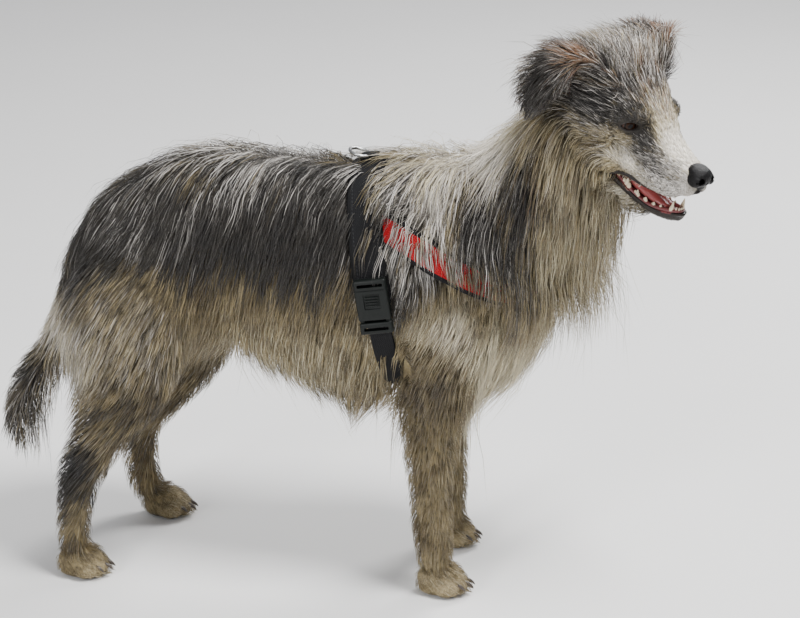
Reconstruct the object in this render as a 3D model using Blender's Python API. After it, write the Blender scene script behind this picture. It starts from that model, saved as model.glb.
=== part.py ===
"""A life-size standing Pyrenean shepherd dog that wears a walking harness.

Metres, +Z up, +X the way the body faces, +Y the dog's left. The flesh is modelled
whole, out to the tips of the coat, then parted into its named pieces by thin cuts.
Each tube below runs through sections whose radii are flesh plus the depth of coat.
"""

import math
from collections import namedtuple

import bmesh
import bpy
from mathutils import Matrix, Vector

# ---- driving dimensions -------------------------------------------------------
SCALE = 1.0  # 1 is a dog 0.475 m high at the withers, coat included
CUT = 0.0003  # width of the thin cuts between pieces
FLESH_VOXEL = 0.0032  # grain at which the tubes are fused
HEAD_SHARE = 0.021  # share of the fused faces kept on the head,
SMALL_SHARE = 0.011  # on the ears and feet,
COARSE_SHARE = 0.0075  # and elsewhere
FUSE_SMOOTHING = 7

HEAD_POSITION = Vector((0.405, -0.072, 0.540))  # midway between the eyes
HEAD_TURN = math.radians(-37)  # looks to its right
HEAD_NOD = math.radians(17)  # below the level
JAW_HINGE = Vector((-0.045, 0.0, -0.026))  # in the head's own frame
JAW_OPENING = math.radians(13)

EYE_RADIUS = 0.0112
EYE_PLACE = Vector((-0.0085, 0.0245, 0.0005))  # left eye, head frame

UP = Vector((0, 0, 1))
FORWARD = Vector((1, 0, 0))

# A section of a tube: its centre, radii of flesh and depths of coat.
# "front" is towards the tube's reference direction, "back" away from it.
Section = namedtuple("Section", "centre front back side coat_front coat_back coat_side")


def section(x, y, z, front, back, side, coat=(0.0, 0.0, 0.0)):
    return Section(Vector((x, y, z)), front, back, side, *coat)


# ---- the body's tubes ---------------------------------------------------------
# Reference direction +Z: front is the back line, back is the belly line.
TRUNK = [
    section(-0.212, 0, 0.325, 0.012, 0.014, 0.016, (0.008, 0.008, 0.008)),
    section(-0.190, 0, 0.340, 0.036, 0.050, 0.044, (0.006, 0.012, 0.016)),
    section(-0.150, 0, 0.352, 0.072, 0.070, 0.060, (0.010, 0.020, 0.018)),
    section(-0.095, 0, 0.355, 0.100, 0.064, 0.065, (0.014, 0.026, 0.018)),
    section(-0.035, 0, 0.355, 0.108, 0.062, 0.065, (0.016, 0.024, 0.018)),
    section(0.030, 0, 0.352, 0.108, 0.084, 0.071, (0.014, 0.026, 0.018)),
    section(0.090, 0, 0.350, 0.106, 0.107, 0.077, (0.013, 0.026, 0.018)),
    section(0.150, 0, 0.350, 0.115, 0.118, 0.079, (0.017, 0.025, 0.018)),
    section(0.205, 0, 0.352, 0.112, 0.114, 0.074, (0.020, 0.046, 0.020)),
    section(0.250, 0, 0.345, 0.066, 0.096, 0.054, (0.020, 0.054, 0.024)),
    section(0.280, 0, 0.341, 0.030, 0.062, 0.032, (0.012, 0.056, 0.022)),
    section(0.297, 0, 0.338, 0.012, 0.036, 0.012, (0.006, 0.048, 0.014)),
]

# Reference direction up and back: front is the nape, back is the throat and its mane.
NECK = [
    section(0.165, 0, 0.375, 0.062, 0.062, 0.058, (0.0, 0.0, 0.0)),
    section(0.235, 0, 0.412, 0.053, 0.062, 0.052, (0.019, 0.060, 0.034)),
    section(0.290, -0.012, 0.465, 0.044, 0.054, 0.044, (0.026, 0.088, 0.036)),
    section(0.335, -0.028, 0.518, 0.040, 0.046, 0.042, (0.022, 0.062, 0.028)),
    section(0.352, -0.036, 0.540, 0.030, 0.036, 0.036, (0.010, 0.030, 0.014)),
]

# The tail drops behind the thighs, hooks back at its end and carries a long fringe.
TAIL = [
    section(-0.165, 0, 0.395, 0.014, 0.014, 0.018, (0.004, 0.004, 0.006)),
    section(-0.203, 0, 0.352, 0.013, 0.013, 0.014, (0.008, 0.012, 0.014)),
    section(-0.226, 0.002, 0.290, 0.010, 0.010, 0.010, (0.010, 0.020, 0.018)),
    section(-0.250, 0.004, 0.235, 0.008, 0.008, 0.008, (0.012, 0.036, 0.018)),
    section(-0.280, 0.004, 0.190, 0.007, 0.007, 0.007, (0.014, 0.062, 0.016)),
    section(-0.296, 0.004, 0.152, 0.005, 0.005, 0.005, (0.010, 0.056, 0.012)),
    section(-0.292, 0.004, 0.128, 0.003, 0.003, 0.003, (0.007, 0.034, 0.008)),
]

# Legs, as the right one; reference direction +X.
FORELEG = [
    section(0.160, -0.044, 0.430, 0.030, 0.030, 0.020, (0.0, 0.0, 0.008)),
    section(0.208, -0.060, 0.345, 0.046, 0.046, 0.028, (0.014, 0.008, 0.014)),
    section(0.186, -0.069, 0.262, 0.036, 0.034, 0.023, (0.024, 0.012, 0.012)),
    section(0.182, -0.069, 0.200, 0.023, 0.025, 0.019, (0.018, 0.014, 0.008)),
    section(0.182, -0.067, 0.135, 0.019, 0.019, 0.016, (0.007, 0.009, 0.006)),
    section(0.185, -0.066, 0.080, 0.018, 0.018, 0.016, (0.006, 0.008, 0.006)),
    section(0.187, -0.065, 0.042, 0.015, 0.016, 0.016, (0.005, 0.006, 0.005)),
    section(0.192, -0.065, 0.022, 0.014, 0.014, 0.015, (0.003, 0.003, 0.003)),
]
HINDLEG_RIGHT = [
    section(-0.130, -0.040, 0.380, 0.046, 0.050, 0.026, (0.0, 0.0, 0.010)),
    section(-0.136, -0.070, 0.305, 0.056, 0.064, 0.030, (0.010, 0.034, 0.016)),
    section(-0.137, -0.078, 0.232, 0.036, 0.044, 0.024, (0.012, 0.034, 0.012)),
    section(-0.166, -0.082, 0.172, 0.021, 0.025, 0.016, (0.010, 0.020, 0.008)),
    section(-0.196, -0.084, 0.115, 0.015, 0.020, 0.013, (0.008, 0.011, 0.006)),
    section(-0.208, -0.086, 0.062, 0.012, 0.013, 0.012, (0.007, 0.008, 0.006)),
    section(-0.208, -0.086, 0.030, 0.014, 0.012, 0.014, (0.005, 0.005, 0.005)),
    section(-0.202, -0.086, 0.018, 0.012, 0.012, 0.014, (0.003, 0.003, 0.003)),
]
HINDLEG_LEFT = [
    section(-0.130, 0.040, 0.380, 0.046, 0.050, 0.026, (0.0, 0.0, 0.010)),
    section(-0.124, 0.070, 0.300, 0.058, 0.064, 0.030, (0.010, 0.032, 0.016)),
    section(-0.108, 0.080, 0.220, 0.034, 0.046, 0.024, (0.012, 0.034, 0.012)),
    section(-0.138, 0.085, 0.160, 0.020, 0.025, 0.016, (0.008, 0.022, 0.008)),
    section(-0.172, 0.088, 0.110, 0.014, 0.019, 0.013, (0.007, 0.016, 0.006)),
    section(-0.176, 0.090, 0.060, 0.012, 0.013, 0.012, (0.007, 0.014, 0.006)),
    section(-0.170, 0.090, 0.030, 0.014, 0.012, 0.014, (0.005, 0.006, 0.005)),
    section(-0.160, 0.090, 0.018, 0.012, 0.012, 0.014, (0.003, 0.003, 0.003)),
]
LEFT_FORELEG_SET_BACK = 0.005

# ---- the head, in its own frame: origin between the eyes, +X towards the nose -----
SKULL = [
    section(-0.112, 0, 0.004, 0.014, 0.020, 0.016, (0.008, 0.008, 0.008)),
    section(-0.090, 0, 0.006, 0.034, 0.040, 0.036, (0.012, 0.010, 0.012)),
    section(-0.055, 0, 0.004, 0.043, 0.046, 0.044, (0.012, 0.010, 0.014)),
    section(-0.024, 0, -0.001, 0.040, 0.044, 0.040, (0.007, 0.007, 0.008)),
    section(0.003, 0, -0.009, 0.030, 0.036, 0.0275, (0.004, 0.004, 0.003)),
    section(0.022, 0, -0.019, 0.0225, 0.0315, 0.0245, (0.002, 0.002, 0.002)),
    section(0.048, 0, -0.0245, 0.0165, 0.0255, 0.0200, (0.002, 0.002, 0.0015)),
    section(0.068, 0, -0.0265, 0.0135, 0.0185, 0.0165, (0.0015, 0.0015, 0.0015)),
    section(0.0785, 0, -0.0270, 0.0100, 0.0125, 0.0125, (0.001, 0.001, 0.001)),
]
JAW = [
    section(-0.048, 0, -0.050, 0.010, 0.016, 0.026, (0.0, 0.003, 0.003)),
    section(-0.018, 0, -0.057, 0.006, 0.011, 0.0235, (0.0, 0.003, 0.002)),
    section(0.007, 0, -0.0595, 0.0050, 0.0070, 0.0210, (0.0, 0.0015, 0.001)),
    section(0.030, 0, -0.0605, 0.0045, 0.0065, 0.0180, (0.0, 0.001, 0.001)),
    section(0.050, 0, -0.0580, 0.0045, 0.0065, 0.0150, (0.0, 0.001, 0.001)),
    section(0.066, 0, -0.0510, 0.0050, 0.0070, 0.0120, (0.0, 0.001, 0.001)),
    section(0.0755, 0, -0.0455, 0.0045, 0.0060, 0.0085, (0.0, 0.0005, 0.0005)),
]
# The ear rises from a broad root, folds outward and hangs with its tip down.
EAR_RIGHT = [
    section(-0.040, -0.028, 0.024, 0.022, 0.020, 0.008, (0.002, 0.002, 0.002)),
    section(-0.058, -0.048, 0.044, 0.022, 0.024, 0.005, (0.006, 0.006, 0.004)),
    section(-0.072, -0.065, 0.046, 0.024, 0.026, 0.004, (0.006, 0.010, 0.004)),
    section(-0.083, -0.077, 0.027, 0.023, 0.023, 0.003, (0.006, 0.010, 0.004)),
    section(-0.088, -0.083, 0.002, 0.016, 0.014, 0.003, (0.006, 0.008, 0.003)),
    section(-0.089, -0.085, -0.016, 0.004, 0.003, 0.002, (0.005, 0.004, 0.003)),
]
EAR_LEFT = [
    section(-0.040, 0.028, 0.024, 0.022, 0.020, 0.008, (0.002, 0.002, 0.002)),
    section(-0.056, 0.045, 0.044, 0.021, 0.024, 0.005, (0.006, 0.006, 0.004)),
    section(-0.070, 0.057, 0.050, 0.020, 0.026, 0.004, (0.004, 0.010, 0.004)),
    section(-0.081, 0.067, 0.034, 0.018, 0.023, 0.003, (0.004, 0.010, 0.004)),
    section(-0.087, 0.073, 0.010, 0.012, 0.014, 0.003, (0.004, 0.008, 0.003)),
    section(-0.088, 0.075, -0.008, 0.004, 0.003, 0.002, (0.004, 0.004, 0.003)),
]
EAR_BREADTH = Vector((1, 0, 0.35))  # the way the leaf of the ear is broad
EAR_CUT = (Vector((-0.060, -0.050, 0.034)), Vector((-0.25, -0.75, 0.60)))  # point, normal
# Lumps that give the head its bones: centre, then radii; the ones off the midline are doubled.
HEAD_LUMPS = [
    ((-0.004, 0.0215, 0.0110), (0.0190, 0.0130, 0.0085)),  # brow
    ((-0.045, 0.0380, -0.0180), (0.0300, 0.0200, 0.0270)),  # cheekbone
    ((-0.030, 0.0320, -0.0470), (0.0330, 0.0210, 0.0290)),  # cheek fur
    ((-0.010, 0.0120, -0.1120), (0.0480, 0.0400, 0.0340)),  # throat fur under the jaw
    ((0.030, 0.0165, -0.0430), (0.0420, 0.0105, 0.0115)),  # upper lip
    ((-0.002, 0.0220, -0.0415), (0.0220, 0.0085, 0.0120)),  # upper lip by its corner
    ((0.066, 0.0090, -0.0350), (0.0165, 0.0090, 0.0105)),  # whisker pad
]

NOSE_CENTRE = Vector((0.0785, 0.0, -0.0210))
NOSE_RADII = Vector((0.0105, 0.0140, 0.0105))
NOSTRIL_PLACE = Vector((0.0875, 0.0068, -0.0215))
NOSTRIL_RADIUS = 0.0026

PAW_LENGTH = 0.054
PAW_WIDTH = 0.042
TOE_RADIUS = 0.0108

CLAW_LENGTH = 0.011
CLAW_RADIUS = 0.0021

# ---- the harness --------------------------------------------------------------
STRAP_THICKNESS = 0.0035
LOOP_ROUNDNESS = 2.2  # 2 is an ellipse, more is squarer
GIRTH_WIDTH = 0.038  # above the buckles
GIRTH_STRAP_WIDTH = 0.024  # below them
GIRTH_CENTRE = Vector((0.1245, 0, 0.344))
GIRTH_LEAN = math.radians(9)  # the girth's foot lies forward of its top
GIRTH_HALF_WIDTH = 0.0880
GIRTH_UP, GIRTH_DOWN = 0.1180, 0.1220
CHEST_STRAP_WIDTH = 0.030
CHEST_STRAP_LEAN = 0.45  # how far its upper edge lies in, as a share of its width
CHEST_STRAP_REAR = Vector((0.118, 0, 0.425))  # where it leaves the girth, on the midline
CHEST_STRAP_FALL = math.radians(27)
CHEST_STRAP_WIDEST = 0.100  # from there to the points of the shoulders, along the fall
CHEST_STRAP_FRONT, CHEST_STRAP_BACK = 0.093, 0.140  # the loop's reach from its widest
CHEST_STRAP_HALF_WIDTH = 0.0945
GROOVE_REACH = 0.016  # how far above a strap the coat is parted
BUCKLE_SIZE = Vector((0.035, 0.0095, 0.060))  # along the body, thick, tall
BUCKLE_LEVEL = -0.010  # of its middle, from the girth's middle
RING_RADIUS = 0.0115
RING_WIRE = 0.0018
RING_LIE = math.radians(24)  # how far it lifts off the back
KEEPER_SIZE = Vector((0.020, 0.016, 0.0065))

# ---- colours: red, green, blue, roughness --------------------------------------
COLOURS = {
    "charcoal_coat": (0.13, 0.12, 0.12, 0.85),
    "fawn_coat": (0.40, 0.33, 0.25, 0.85),
    "pale_coat": (0.60, 0.54, 0.44, 0.85),
    "nose_leather": (0.03, 0.03, 0.035, 0.45),
    "eye": (0.06, 0.035, 0.02, 0.08),
    "tongue": (0.60, 0.18, 0.19, 0.35),
    "tooth": (0.83, 0.80, 0.70, 0.30),
    "claw": (0.07, 0.06, 0.06, 0.45),
    "black_webbing": (0.03, 0.03, 0.035, 0.80),
    "red_webbing": (0.50, 0.02, 0.025, 0.75),
    "buckle_plastic": (0.05, 0.055, 0.055, 0.50),
    "steel": (0.60, 0.60, 0.60, 0.30),
}


def clear_scene():
    for old in list(bpy.data.objects):
        bpy.data.objects.remove(old)


def material(name):
    """A Principled material of the named colour, made once."""
    found = bpy.data.materials.get(name)
    if found:
        return found
    red, green, blue, roughness = COLOURS[name]
    made = bpy.data.materials.new(name)
    made.use_nodes = True
    shader = made.node_tree.nodes["Principled BSDF"]
    shader.inputs["Base Color"].default_value = (red, green, blue, 1)
    shader.inputs["Roughness"].default_value = roughness
    shader.inputs["Metallic"].default_value = 1.0 if name == "steel" else 0.0
    return made


def new_object(name, mesh, finish="fawn_coat"):
    thing = bpy.data.objects.new(name, mesh)
    bpy.context.scene.collection.objects.link(thing)
    mesh.materials.clear()
    mesh.materials.append(material(finish))
    return thing


def mesh_from(bm, name):
    bmesh.ops.recalc_face_normals(bm, faces=bm.faces)
    mesh = bpy.data.meshes.new(name)
    bm.to_mesh(mesh)
    bm.free()
    return mesh


def evaluated(thing):
    """The object's mesh with its modifiers, as a new mesh."""
    bpy.context.view_layer.update()
    graph = bpy.context.evaluated_depsgraph_get()
    return bpy.data.meshes.new_from_object(thing.evaluated_get(graph))


# ---- tubes --------------------------------------------------------------------
def spline(before, start, end, after, share):
    """Catmull-Rom between start and end, for numbers or vectors."""
    square, cube = share * share, share**3
    return (
        start * 2
        + (end - before) * share
        + (before * 2 - start * 5 + end * 4 - after) * square
        + (start * 3 - before - end * 3 + after) * cube
    ) * 0.5


def between_sections(sections, steps):
    """Sections along the smooth tube: centres with the three radii, coat included."""
    rows = [
        (s.centre, s.front + s.coat_front, s.back + s.coat_back, s.side + s.coat_side)
        for s in sections
    ]
    padded = [rows[0]] + rows + [rows[-1]]
    smooth = []
    for i in range(len(rows) - 1):
        for step in range(steps):
            share = step / steps
            smooth.append(
                [spline(*(padded[i + k][column] for k in range(4)), share) for column in range(4)]
            )
    smooth.append(list(rows[-1]))
    return smooth


def add_tube(bm, sections, reference, around=28, steps=5):
    """A closed tube through the sections, with domed ends."""
    rows = between_sections(sections, steps)
    rings = []
    for i, (centre, front, back, side) in enumerate(rows):
        before = rows[max(i - 1, 0)][0]
        after = rows[min(i + 1, len(rows) - 1)][0]
        along = (after - before).normalized()
        forward = (reference - along * reference.dot(along)).normalized()
        sideways = along.cross(forward)
        ring = []
        for k in range(around):
            angle = 2 * math.pi * k / around
            reach = front if math.cos(angle) > 0 else back
            offset = forward * math.cos(angle) * reach + sideways * math.sin(angle) * side
            ring.append(bm.verts.new(centre + offset))
        rings.append(ring)
    for lower, upper in zip(rings, rings[1:]):
        for k in range(around):
            following = (k + 1) % around
            bm.faces.new((lower[k], lower[following], upper[following], upper[k]))
    for ring, row, inner in ((rings[0], rows[0], rows[1]), (rings[-1], rows[-1], rows[-2])):
        outward = (row[0] - inner[0]).normalized()
        tip = bm.verts.new(row[0] + outward * min(row[1:]) * 0.6)
        for k in range(around):
            bm.faces.new((ring[k], ring[(k + 1) % around], tip))


def add_ellipsoid(bm, centre, radii, turn=None, segments=20):
    """An ellipsoid; turn is an optional rotation matrix applied to it."""
    frame = Matrix.Translation(centre) @ (turn or Matrix.Identity(4)) @ Matrix.Diagonal((*radii, 1))
    bmesh.ops.create_uvsphere(bm, u_segments=segments, v_segments=segments // 2, radius=1, matrix=frame)


def mirrored(sections, set_back=0.0):
    """The same tube on the dog's other side."""
    flipped = []
    for s in sections:
        centre = Vector((s.centre.x - set_back, -s.centre.y, s.centre.z))
        flipped.append(s._replace(centre=centre))
    return flipped


def head_frame():
    turn = Matrix.Rotation(HEAD_TURN, 4, "Z") @ Matrix.Rotation(HEAD_NOD, 4, "Y")
    return Matrix.Translation(HEAD_POSITION) @ turn


def jaw_swing():
    """The jaw's opening, in the head's frame."""
    hinge = Matrix.Translation(JAW_HINGE)
    return hinge @ Matrix.Rotation(JAW_OPENING, 4, "Y") @ hinge.inverted()


def add_paw(bm, tip):
    """Four toes and a pad under the end of a leg, on a small flat at the floor."""
    middle = tip - FORWARD * PAW_LENGTH * 0.52
    add_ellipsoid(bm, middle + UP * 0.018, (0.027, PAW_WIDTH * 0.48, 0.0185))
    add_ellipsoid(bm, middle - FORWARD * 0.004 + UP * 0.009, (0.022, PAW_WIDTH * 0.42, 0.013))
    for place in paw_toes(tip):
        add_ellipsoid(bm, place, (TOE_RADIUS * 1.5, TOE_RADIUS, TOE_RADIUS * 1.15))


def paw_toes(tip):
    """Centres of the four toes; the middle pair reach further."""
    toes = []
    for across, behind in ((-0.80, 0.020), (-0.27, 0.0125), (0.27, 0.0125), (0.80, 0.020)):
        toes.append(tip + Vector((-behind, across * PAW_WIDTH * 0.40, 0.0115)))
    return toes


PAW_TIPS = {
    "fore_right": Vector((0.221, -0.065, 0.0)),
    "fore_left": Vector((0.215 - LEFT_FORELEG_SET_BACK, 0.065, 0.0)),
    "hind_right": Vector((-0.174, -0.086, 0.0)),
    "hind_left": Vector((-0.124, 0.090, 0.0)),
}


# ---- fusing, growing and cutting ------------------------------------------------
def add_modifier(thing, kind, **settings):
    modifier = thing.modifiers.new(kind.title(), kind)
    for key, value in settings.items():
        setattr(modifier, key, value)
    return modifier


def replace_mesh(thing, mesh):
    thing.modifiers.clear()
    finish = thing.data.materials[0]
    thing.data = mesh
    mesh.materials.clear()
    mesh.materials.append(finish)


def fused(name, bm, voxel, share, smoothing=FUSE_SMOOTHING, finish="fawn_coat"):
    """One closed surface round everything in bm, smoothed and thinned to that share of faces."""
    thing = new_object(name, mesh_from(bm, name), finish)
    add_modifier(thing, "REMESH", mode="VOXEL", voxel_size=voxel)
    add_modifier(thing, "SMOOTH", factor=0.5, iterations=smoothing)
    replace_mesh(thing, evaluated(thing))
    return thinned(thing, share)


def thinned(thing, share):
    add_modifier(thing, "DECIMATE", ratio=share)
    replace_mesh(thing, evaluated(thing))
    return thing


def copy_of(thing, name):
    return new_object(name, thing.data.copy(), thing.data.materials[0].name)


def boolean(thing, cutter, operation):
    """Cuts, joins or keeps the common part, and drops slivers left on the cut."""
    add_modifier(thing, "BOOLEAN", object=cutter, operation=operation, solver="EXACT")
    replace_mesh(thing, evaluated(thing))
    bm = bmesh.new()
    bm.from_mesh(thing.data)
    bmesh.ops.dissolve_degenerate(bm, dist=0.00001, edges=bm.edges)
    bmesh.ops.triangulate(bm, faces=bm.faces)
    keep_largest(bm)
    bm.to_mesh(thing.data)
    bm.free()
    return thing


def keep_largest(bm):
    """Removes all but the largest connected piece."""
    bm.verts.ensure_lookup_table()
    seen, groups = set(), []
    for start in bm.verts:
        if start in seen:
            continue
        group, waiting = [], [start]
        seen.add(start)
        while waiting:
            vertex = waiting.pop()
            group.append(vertex)
            for edge in vertex.link_edges:
                other = edge.other_vert(vertex)
                if other not in seen:
                    seen.add(other)
                    waiting.append(other)
        groups.append(group)
    groups.sort(key=len)
    for group in groups[:-1]:
        bmesh.ops.delete(bm, geom=group, context="VERTS")


def remove(*things):
    for thing in things:
        bpy.data.objects.remove(thing)


def grown(thing, amount, name="grown"):
    """A copy whose surface stands that far out from the first, as a cutter."""
    cutter = copy_of(thing, name)
    bm = bmesh.new()
    bm.from_mesh(cutter.data)
    bmesh.ops.recalc_face_normals(bm, faces=bm.faces)
    bm.normal_update()
    for vertex in bm.verts:
        vertex.co += vertex.normal * amount * min(vertex.calc_shell_factor(), 2.0)
    bm.to_mesh(cutter.data)
    bm.free()
    return cutter


def parted(whole, cell_maker, name, finish):
    """Takes the part of the whole inside a cell out as a piece, leaving a thin cut."""
    cell = cell_maker(0.0)
    piece = copy_of(whole, name)
    piece.data.materials.clear()
    piece.data.materials.append(material(finish))
    boolean(piece, cell, "INTERSECT")
    wider = cell_maker(CUT)
    boolean(whole, wider, "DIFFERENCE")
    remove(cell, wider)
    return piece


def arch_cell(centre_x, centre_z, radius, inner, outer, sole=-0.05):
    """A maker of prisms with an arched top, across the body from inner to outer."""

    def make(extra):
        bm = bmesh.new()
        outline = []
        wide = radius + extra
        for k in range(17):
            angle = math.pi * k / 16
            outline.append((centre_x + wide * math.cos(angle), centre_z + wide * math.sin(angle)))
        outline.append((centre_x - wide, sole))
        outline.append((centre_x + wide, sole))
        low, high = sorted((inner, outer))
        verts = [bm.verts.new((x, low - extra, z)) for x, z in outline]
        face = bm.faces.new(verts)
        pushed = bmesh.ops.extrude_face_region(bm, geom=[face])["geom"]
        moved = [g for g in pushed if isinstance(g, bmesh.types.BMVert)]
        bmesh.ops.translate(bm, verts=moved, vec=(0, high - low + 2 * extra, 0))
        return new_object("cell", mesh_from(bm, "cell"))

    return make


def box_cell(low, high, frame=None):
    """A maker of boxes between two corners, in the frame given."""

    def make(extra):
        margin = Vector((extra, extra, extra))
        size = Vector(high) - Vector(low) + 2 * margin
        middle = (Vector(low) + Vector(high)) / 2
        place = (frame or Matrix.Identity(4)) @ Matrix.Translation(middle)
        bm = bmesh.new()
        bmesh.ops.create_cube(bm, size=1, matrix=place @ Matrix.Diagonal((*size, 1)))
        return new_object("cell", mesh_from(bm, "cell"))

    return make


# ---- the whole flesh ------------------------------------------------------------
def whole_flesh():
    """Trunk, neck, tail, legs, skull and ears as one closed surface."""
    bm = bmesh.new()
    add_tube(bm, TRUNK, UP)
    add_tube(bm, NECK, Vector((-0.7, 0, 0.7)))
    add_tube(bm, TAIL, Vector((-1, 0, 0.15)), around=16)
    add_tube(bm, FORELEG, FORWARD)
    add_tube(bm, mirrored(FORELEG, LEFT_FORELEG_SET_BACK), FORWARD)
    add_tube(bm, HINDLEG_RIGHT, FORWARD)
    add_tube(bm, HINDLEG_LEFT, FORWARD)
    for tip in PAW_TIPS.values():
        add_paw(bm, tip)
    head = bmesh.new()
    add_tube(head, SKULL, UP, around=32)
    for sections in (EAR_RIGHT, EAR_LEFT):
        add_tube(head, sections, EAR_BREADTH, around=20)
    for centre, radii in HEAD_LUMPS:
        for sign in (-1, 1):
            add_ellipsoid(head, (centre[0], sign * centre[1], centre[2]), radii)
    bmesh.ops.transform(head, matrix=head_frame(), verts=head.verts)
    bm.from_mesh(mesh_from(head, "head"))
    return bm


def flatten_soles(thing):
    """Trims the feet to small flats at the floor."""
    bm = bmesh.new()
    bm.from_mesh(thing.data)
    plane = bmesh.ops.bisect_plane(
        bm,
        geom=bm.verts[:] + bm.edges[:] + bm.faces[:],
        plane_co=(0, 0, 0),
        plane_no=(0, 0, -1),
        clear_outer=True,
    )
    edges = [g for g in plane["geom_cut"] if isinstance(g, bmesh.types.BMEdge)]
    bmesh.ops.holes_fill(bm, edges=edges)
    bmesh.ops.triangulate(bm, faces=bm.faces)
    bmesh.ops.recalc_face_normals(bm, faces=bm.faces)
    bm.to_mesh(thing.data)
    bm.free()


def plane_cell(point, normal, reach, half_width):
    """A maker of boxes standing on a plane in the head's frame, on the normal's side."""
    turn = Vector(normal).to_track_quat("Z", "X").to_matrix().to_4x4()
    place = head_frame() @ Matrix.Translation(point) @ turn
    return box_cell((-half_width, -half_width, 0), (half_width, half_width, reach), place)


def cut_away(thing, maker):
    cutter = maker(CUT)
    boolean(thing, cutter, "DIFFERENCE")
    remove(cutter)


def make_flesh():
    """Parts the flesh: fine faces for the head, coarser on the feet, coarsest elsewhere."""
    coarse = fused("coarse", whole_flesh(), FLESH_VOXEL, 1.0)
    fine = thinned(copy_of(coarse, "fine"), HEAD_SHARE)
    small = thinned(copy_of(coarse, "small"), SMALL_SHARE)
    thinned(coarse, COARSE_SHARE)
    flatten_soles(small)
    pieces = {}
    for side, sign in (("right", 1), ("left", -1)):
        point, normal = EAR_CUT
        mirror = Vector((1, sign, 1))
        cell = plane_cell(point * mirror, normal * mirror, 0.09, 0.075)
        pieces["ear_" + side] = parted(small, cell, "ear_" + side, "charcoal_coat")
        cut_away(fine, cell)
        cut_away(coarse, cell)
    head_cell = box_cell((-0.072, -0.130, -0.075), (0.130, 0.130, 0.120), head_frame())
    pieces["head"] = parted(fine, head_cell, "head", "pale_coat")
    cut_away(coarse, head_cell)
    remove(fine)
    for key, tip in PAW_TIPS.items():
        low = (tip.x - 0.10, tip.y - 0.045, -0.01)
        foot_cell = box_cell(low, (tip.x + 0.02, tip.y + 0.045, 0.038))
        name = key.replace("_", "foot_")
        pieces[name] = parted(small, foot_cell, name, "fawn_coat")
        cut_away(coarse, foot_cell)
    remove(small)
    tail_cell = box_cell((-0.40, -0.030, 0.05), (-0.2135, 0.032, 0.42))
    pieces["tail"] = parted(coarse, tail_cell, "tail", "charcoal_coat")
    for side, sign in (("right", -1), ("left", 1)):
        back = LEFT_FORELEG_SET_BACK if sign > 0 else 0.0
        cell = arch_cell(0.203 - back, 0.318, 0.050, sign * 0.030, sign * 0.16)
        leg = parted(coarse, cell, "foreleg_upper_" + side, "fawn_coat")
        lower = box_cell((0.05, -0.2, -0.05), (0.30, 0.2, 0.205))
        pieces["foreleg_lower_" + side] = parted(leg, lower, "foreleg_lower_" + side, "fawn_coat")
        pieces["foreleg_upper_" + side] = leg
    for side, sign, knee_x in (("right", -1, -0.150), ("left", 1, -0.136)):
        cell = arch_cell(knee_x, 0.310, 0.088, sign * 0.022, sign * 0.16)
        leg = parted(coarse, cell, "thigh_" + side, "fawn_coat")
        lower = box_cell((-0.35, -0.2, -0.05), (0.0, 0.2, 0.185))
        pieces["shank_" + side] = parted(leg, lower, "shank_" + side, "fawn_coat")
        pieces["thigh_" + side] = leg
    neck_frame = Matrix.Translation((0.255, 0, 0.43)) @ Matrix.Rotation(math.radians(-38), 4, "Y")
    neck_cell = box_cell((0.0, -0.2, -0.30), (0.40, 0.2, 0.30), neck_frame)
    pieces["neck"] = parted(coarse, neck_cell, "neck", "pale_coat")
    loin_cell = box_cell((-0.40, -0.2, 0.0), (-0.010, 0.2, 0.60))
    pieces["loin"] = parted(coarse, loin_cell, "loin", "charcoal_coat")
    coarse.name = "chest"
    replace_finish(coarse, "charcoal_coat")
    pieces["chest"] = coarse
    return pieces


def replace_finish(thing, finish):
    thing.data.materials.clear()
    thing.data.materials.append(material(finish))


# ---- the mouth, the nose and the eyes ------------------------------------------
# The mouth's hollow in the head; the tongue lies in the jaw.
PALATE = [
    section(-0.034, 0, -0.056, 0.008, 0.010, 0.012),
    section(-0.010, 0, -0.052, 0.012, 0.020, 0.0175),
    section(0.030, 0, -0.050, 0.012, 0.020, 0.0160),
    section(0.060, 0, -0.044, 0.006, 0.018, 0.0105),
    section(0.070, 0, -0.044, 0.003, 0.016, 0.0050),
]
MOUTH_CORNERS = (Vector((0.010, 0, -0.0640)), Vector((0.0250, 0.0400, 0.0070)))  # place, radii
TONGUE = [
    section(-0.036, 0, -0.0500, 0.0055, 0.0060, 0.0110),
    section(-0.008, 0, -0.0495, 0.0075, 0.0080, 0.0130),
    section(0.022, 0, -0.0510, 0.0070, 0.0070, 0.0125),
    section(0.047, 0, -0.0500, 0.0050, 0.0050, 0.0095),
    section(0.0600, 0, -0.0470, 0.0030, 0.0030, 0.0060),
]
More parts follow.
